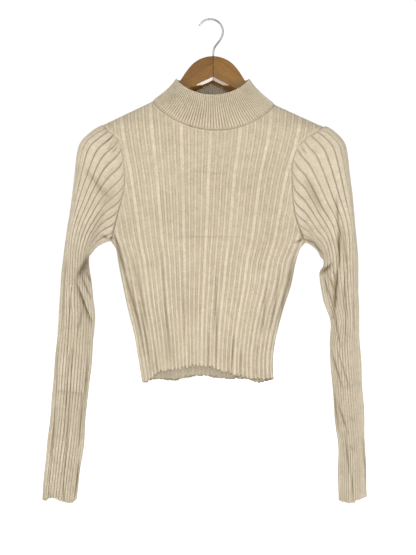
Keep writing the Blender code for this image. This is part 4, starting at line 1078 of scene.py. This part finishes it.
# ---- meshes ----
def make_mesh(name, points, faces, material, flat=None, values=None, sharp=CLOTH_SHARP):
    """An object from points in millimetres and faces, turned outwards and smooth up to an angle.

    flat gives each point its place in the cloth for the texture, and values more numbers by name.
    """
    mesh = bpy.data.meshes.new(name)
    mesh.from_pydata([tuple(p * MM) for p in points], [], faces)
    work = bmesh.new()
    work.from_mesh(mesh)
    bmesh.ops.recalc_face_normals(work, faces=work.faces)
    work.to_mesh(mesh)
    work.free()
    mesh.shade_smooth()
    mesh.set_sharp_from_angle(angle=radians(sharp))
    if flat is not None:
        corners = np.zeros(len(mesh.loops), int)
        mesh.loops.foreach_get("vertex_index", corners)
        layer = mesh.uv_layers.new(name="cloth_place")
        layer.data.foreach_set("uv", (flat[corners] * MM).astype(np.float32).ravel())
    for key, numbers in (values or {}).items():
        attribute = mesh.attributes.new(key, "FLOAT", "POINT")
        attribute.data.foreach_set("value", numbers.astype(np.float32))
    mesh.materials.append(material)
    made = bpy.data.objects.new(name, mesh)
    bpy.context.collection.objects.link(made)
    return made


# ---- materials ----
class Nodes:
    """Short calls to build a material's node tree."""

    def __init__(self, name):
        self.material = bpy.data.materials.new(name)
        self.material.use_nodes = True
        self.tree = self.material.node_tree
        self.shader = self.tree.nodes["Principled BSDF"]

    def add(self, kind, settings=None, **inputs):
        """A node with its settings and inputs; an input is a value or another node's output."""
        node = self.tree.nodes.new(kind)
        for key, value in (settings or {}).items():
            setattr(node, key, value)
        for key, value in inputs.items():
            self.put(node, key.replace("_", " "), value)
        return node

    def put(self, node, socket, value):
        """Sets or links one input."""
        if isinstance(value, bpy.types.NodeSocket):
            self.tree.links.new(value, node.inputs[socket])
        else:
            node.inputs[socket].default_value = value

    def place(self):
        """Places in the object, in metres."""
        return self.add("ShaderNodeTexCoord").outputs["Object"]

    def part(self, vector, axis):
        """One coordinate of a place."""
        return self.add("ShaderNodeSeparateXYZ", Vector=vector).outputs[axis]

    def attribute(self, name):
        """The numbers that the mesh has by this name."""
        return self.add("ShaderNodeAttribute", {"attribute_name": name}).outputs["Fac"]

    def noise(self, vector, scale, detail):
        """A noise between 0 and 1."""
        return self.add("ShaderNodeTexNoise", Vector=vector, Scale=scale, Detail=detail).outputs["Fac"]

    def stripes(self, place, direction, width):
        """Soft uneven stripes, one for each stitch of a width in millimetres."""
        node = self.add("ShaderNodeTexWave", {"wave_type": "BANDS", "bands_direction": direction},
                        Vector=place, Scale=1 / (width * MM * pi), Distortion=1.2, Detail=1.0,
                        Detail_Scale=1.6)
        return node.outputs["Fac"]

    def ramp(self, value, *stops):
        """A colour ramp over a value; each stop is a place and a colour."""
        node = self.add("ShaderNodeValToRGB", Fac=value)
        elements = node.color_ramp.elements
        while len(elements) < len(stops):
            elements.new(0.5)
        for element, (place, colour) in zip(elements, stops):
            element.position = place
            element.color = (*colour, 1)
        return node.outputs["Color"]

    def math(self, operation, a, b=0):
        """One sum of two values."""
        node = self.add("ShaderNodeMath", {"operation": operation})
        self.put(node, 0, a)
        self.put(node, 1, b)
        return node.outputs["Value"]

    def multiply(self, factor, a, b):
        """Two colours multiplied, by a factor; the second may be a plain colour."""
        node = self.add("ShaderNodeMix", {"data_type": "RGBA", "blend_type": "MULTIPLY"}, Factor=factor)
        for socket, value in (("A", a), ("B", b)):
            target = [s for s in node.inputs if s.name == socket and s.type == "RGBA"][0]
            if isinstance(value, bpy.types.NodeSocket):
                self.tree.links.new(value, target)
            else:
                target.default_value = (*value, 1)
        return [s for s in node.outputs if s.type == "RGBA"][0]

    def bump(self, height, distance, strength, after=None):
        """A bump normal, on top of another if one is given."""
        node = self.add("ShaderNodeBump", Height=height, Distance=distance, Strength=strength)
        if after is not None:
            self.put(node, "Normal", after)
        return node.outputs["Normal"]

    def finish(self, **inputs):
        """Sets the shader's inputs and gives the material."""
        for key, value in inputs.items():
            self.put(self.shader, key.replace("_", " "), value)
        return self.material


def knit_material(name, full_rise, wales=True):
    """Rib knit with painted light on its ribs and painted shade in its grooves, creases and between its
    loops; rows and perhaps wales of loops, fuzz and soft mottling.
    """
    n = Nodes(name)
    cloth = n.add("ShaderNodeUVMap", {"uv_map": "cloth_place"}).outputs["UV"]
    body = n.place()
    # Painted light on the raised ribs and painted shade in the grooves, by how far each rib rises.
    level = n.math("ADD", n.math("DIVIDE", n.attribute("rib_rise"), 2 * full_rise), 0.5)
    colour = n.ramp(level, (0.35, SHADED_GROOVE_COLOUR), (0.5, GROUND_COLOUR), (0.95, LIT_RIB_COLOUR))
    # Painted shade in creases, beside the neck seam and along the hem.
    colour = n.multiply(n.attribute("painted_shade"), colour, PAINTED_SHADE_TINT)
    for scale, dark in MOTTLES:
        mottle = n.noise(body, scale, detail=4.0)
        colour = n.multiply(1.0, colour, n.ramp(mottle, (0.35, dark), (0.62, WHITE)))
    loops = n.stripes(cloth, "Y", LOOP_HEIGHT)
    if wales:
        loops = n.math("MULTIPLY", loops, n.stripes(cloth, "X", LOOP_WIDTH))
    # Painted shade between the loops.
    colour = n.multiply(0.55, colour, n.ramp(loops, (0.0, LOOP_SHADE), (0.6, WHITE)))
    normal = n.bump(loops, distance=0.0006, strength=0.7)
    fuzz = n.noise(body, 900.0, detail=2.0)
    normal = n.bump(fuzz, distance=0.0004, strength=0.35, after=normal)
    return n.finish(Base_Color=colour, Normal=normal, Roughness=0.95, Sheen_Weight=0.25,
                    Sheen_Roughness=0.5, Sheen_Tint=(1.0, 0.95, 0.85, 1), Specular_IOR_Level=0.25)


def thread_material():
    """Soft cotton thread, a little lighter than the knit."""
    n = Nodes("thread")
    twist = n.noise(n.place(), 1500.0, detail=2.0)
    colour = n.ramp(twist, (0.3, THREAD_DARK), (0.7, THREAD_LIGHT))
    normal = n.bump(twist, distance=0.0002, strength=0.5)
    return n.finish(Base_Color=colour, Normal=normal, Roughness=0.85)


def wood_material(name, dark, light, lean):
    """Varnished wood: long grain that leans by an angle from upright, fine pores and a glossy coat."""
    n = Nodes(name)
    place = n.place()
    grain = n.add("ShaderNodeMapping", {"vector_type": "TEXTURE"}, Vector=place,
                  Rotation=(0, radians(lean), 0), Scale=GRAIN_SIZE).outputs["Vector"]
    broad = n.noise(grain, 1.5, detail=3.0)
    lines = n.noise(grain, 9.0, detail=5.0)
    colour = n.ramp(broad, (0.30, dark), (0.72, light))
    colour = n.multiply(0.55, colour, n.ramp(lines, (0.35, PORE_SHADE), (0.6, WHITE)))
    from_mitre = n.math("ABSOLUTE", n.math("SUBTRACT", n.part(place, "X"), HANGER_X * MM))
    seam = n.math("DIVIDE", from_mitre, MITRE_WIDTH * MM)
    colour = n.multiply(1.0, colour, n.ramp(seam, (0.1, MITRE_SHADE), (1.0, WHITE)))
    normal = n.bump(lines, distance=0.0002, strength=0.12)
    return n.finish(Base_Color=colour, Normal=normal, Roughness=0.42, Specular_IOR_Level=0.2,
                    Coat_Weight=0.85, Coat_IOR=1.6, Coat_Roughness=0.1)


def metal_material():
    """Bright plated wire, a little dulled in long patches."""
    n = Nodes("plated_wire")
    patches = n.noise(n.place(), 30.0, detail=1.0)
    colour = n.ramp(patches, (0.38, METAL_DARK), (0.60, METAL_LIGHT))
    return n.finish(Base_Color=colour, Metallic=0.8, Roughness=0.5)


def floor_material():
    """Plain pale floor with painted light: it glows, more brightly behind the garment."""
    n = Nodes("pale_floor")
    place = n.place()
    colour = n.ramp(n.noise(place, 3.0, detail=2.0), (0.3, FLOOR_DARK), (0.7, FLOOR_LIGHT))
    # Painted light: the floor's glow grows towards the back.
    painted_glow = n.add("ShaderNodeMapRange", Value=n.part(place, "Y"), From_Min=0.0, From_Max=1.0,
                 To_Min=0.0, To_Max=0.6)
    return n.finish(Base_Color=colour, Roughness=0.9, Emission_Color=(1, 1, 1, 1),
                    Emission_Strength=painted_glow.outputs["Result"])


# ---- stage ----
def build_stage():
    """A pale floor below the garment, that isn't part of it."""
    bpy.ops.mesh.primitive_circle_add(vertices=FLOOR_SIDES, radius=FLOOR_RADIUS * MM, fill_type="NGON",
                                      location=(0, 0, FLOOR_Z * MM))
    floor = bpy.context.object
    floor.name = "floor"
    floor.data.materials.append(floor_material())


def add_light(name, place, target, size, power):
    """A soft light that faces a target; place, target, width and height in metres."""
    data = bpy.data.lights.new(name, "AREA")
    data.shape = "RECTANGLE"
    data.size, data.size_y = size
    data.energy = power
    light = bpy.data.objects.new(name, data)
    light.location = place
    light.rotation_euler = (Vector(target) - Vector(place)).to_track_quat("-Z", "Y").to_euler()
    bpy.context.collection.objects.link(light)


def build_lights():
    """Soft studio light: a surround brighter behind the garment, a key, a fill and two glints."""
    world = bpy.data.worlds.new("studio")
    world.use_nodes = True
    nodes, links = world.node_tree.nodes, world.node_tree.links
    direction = nodes.new("ShaderNodeTexCoord")
    split = nodes.new("ShaderNodeSeparateXYZ")
    strength = nodes.new("ShaderNodeMapRange")
    for socket, value in zip(("From Min", "From Max", "To Min", "To Max"), SURROUND):
        strength.inputs[socket].default_value = value
    links.new(direction.outputs["Generated"], split.inputs[0])
    links.new(split.outputs["Y"], strength.inputs["Value"])
    links.new(strength.outputs["Result"], nodes["Background"].inputs["Strength"])
    nodes["Background"].inputs["Color"].default_value = (1, 1, 1, 1)
    bpy.context.scene.world = world
    for name, (place, target, size, power) in LIGHTS.items():
        add_light(name, place, target, size, power)
    bpy.context.scene.view_settings.view_transform = "Standard"


def build_camera():
    """The camera, level with the middle of the garment."""
    data = bpy.data.cameras.new("camera")
    data.lens = data.sensor_width * CAMERA_DISTANCE / FRAME_HEIGHT
    data.clip_end = CLIP_END * MM
    camera = bpy.data.objects.new("camera", data)
    camera.location = (CAMERA_X * MM, -CAMERA_DISTANCE * MM, CAMERA_Z * MM)
    camera.rotation_euler = (pi / 2, 0, 0)
    bpy.context.collection.objects.link(camera)
    bpy.context.scene.camera = camera


def stand_in(piece, node):
    """The piece rides on the root body and stands for a node, whose own mesh is hidden."""
    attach(piece, "root")
    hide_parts(node)


def main():
    """Loads the frame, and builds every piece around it."""
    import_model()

    for node, face in (("front", FRONT), ("back", BACK)):
        panel = build_panel(node + "_knit", face, knit_material(node + "_rib", PANEL_RISE))
        stand_in(panel, node)
    for node, side in (("sleeve_left", LEFT), ("sleeve_right", RIGHT)):
        sleeve = build_sleeve(node + "_knit", side, knit_material(node + "_rib", SLEEVE_RISE))
        stand_in(sleeve, node)
    collar = build_collar(knit_material("collar_rib", COLLAR_RISE, wales=False))
    stand_in(collar, "collar")
    stitches = build_neck_stitches(thread_material())
    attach(stitches, "root")

    for name, side in (("left", LEFT), ("right", RIGHT)):
        node = "hanger_" + name
        arm = build_arm(node + "_wood", side, wood_material("wood_" + name, *WOOD[side]))
        stand_in(arm, node)
    stand_in(build_hook(metal_material()), "hook")

    build_stage()
    build_lights()
    build_camera()


main()
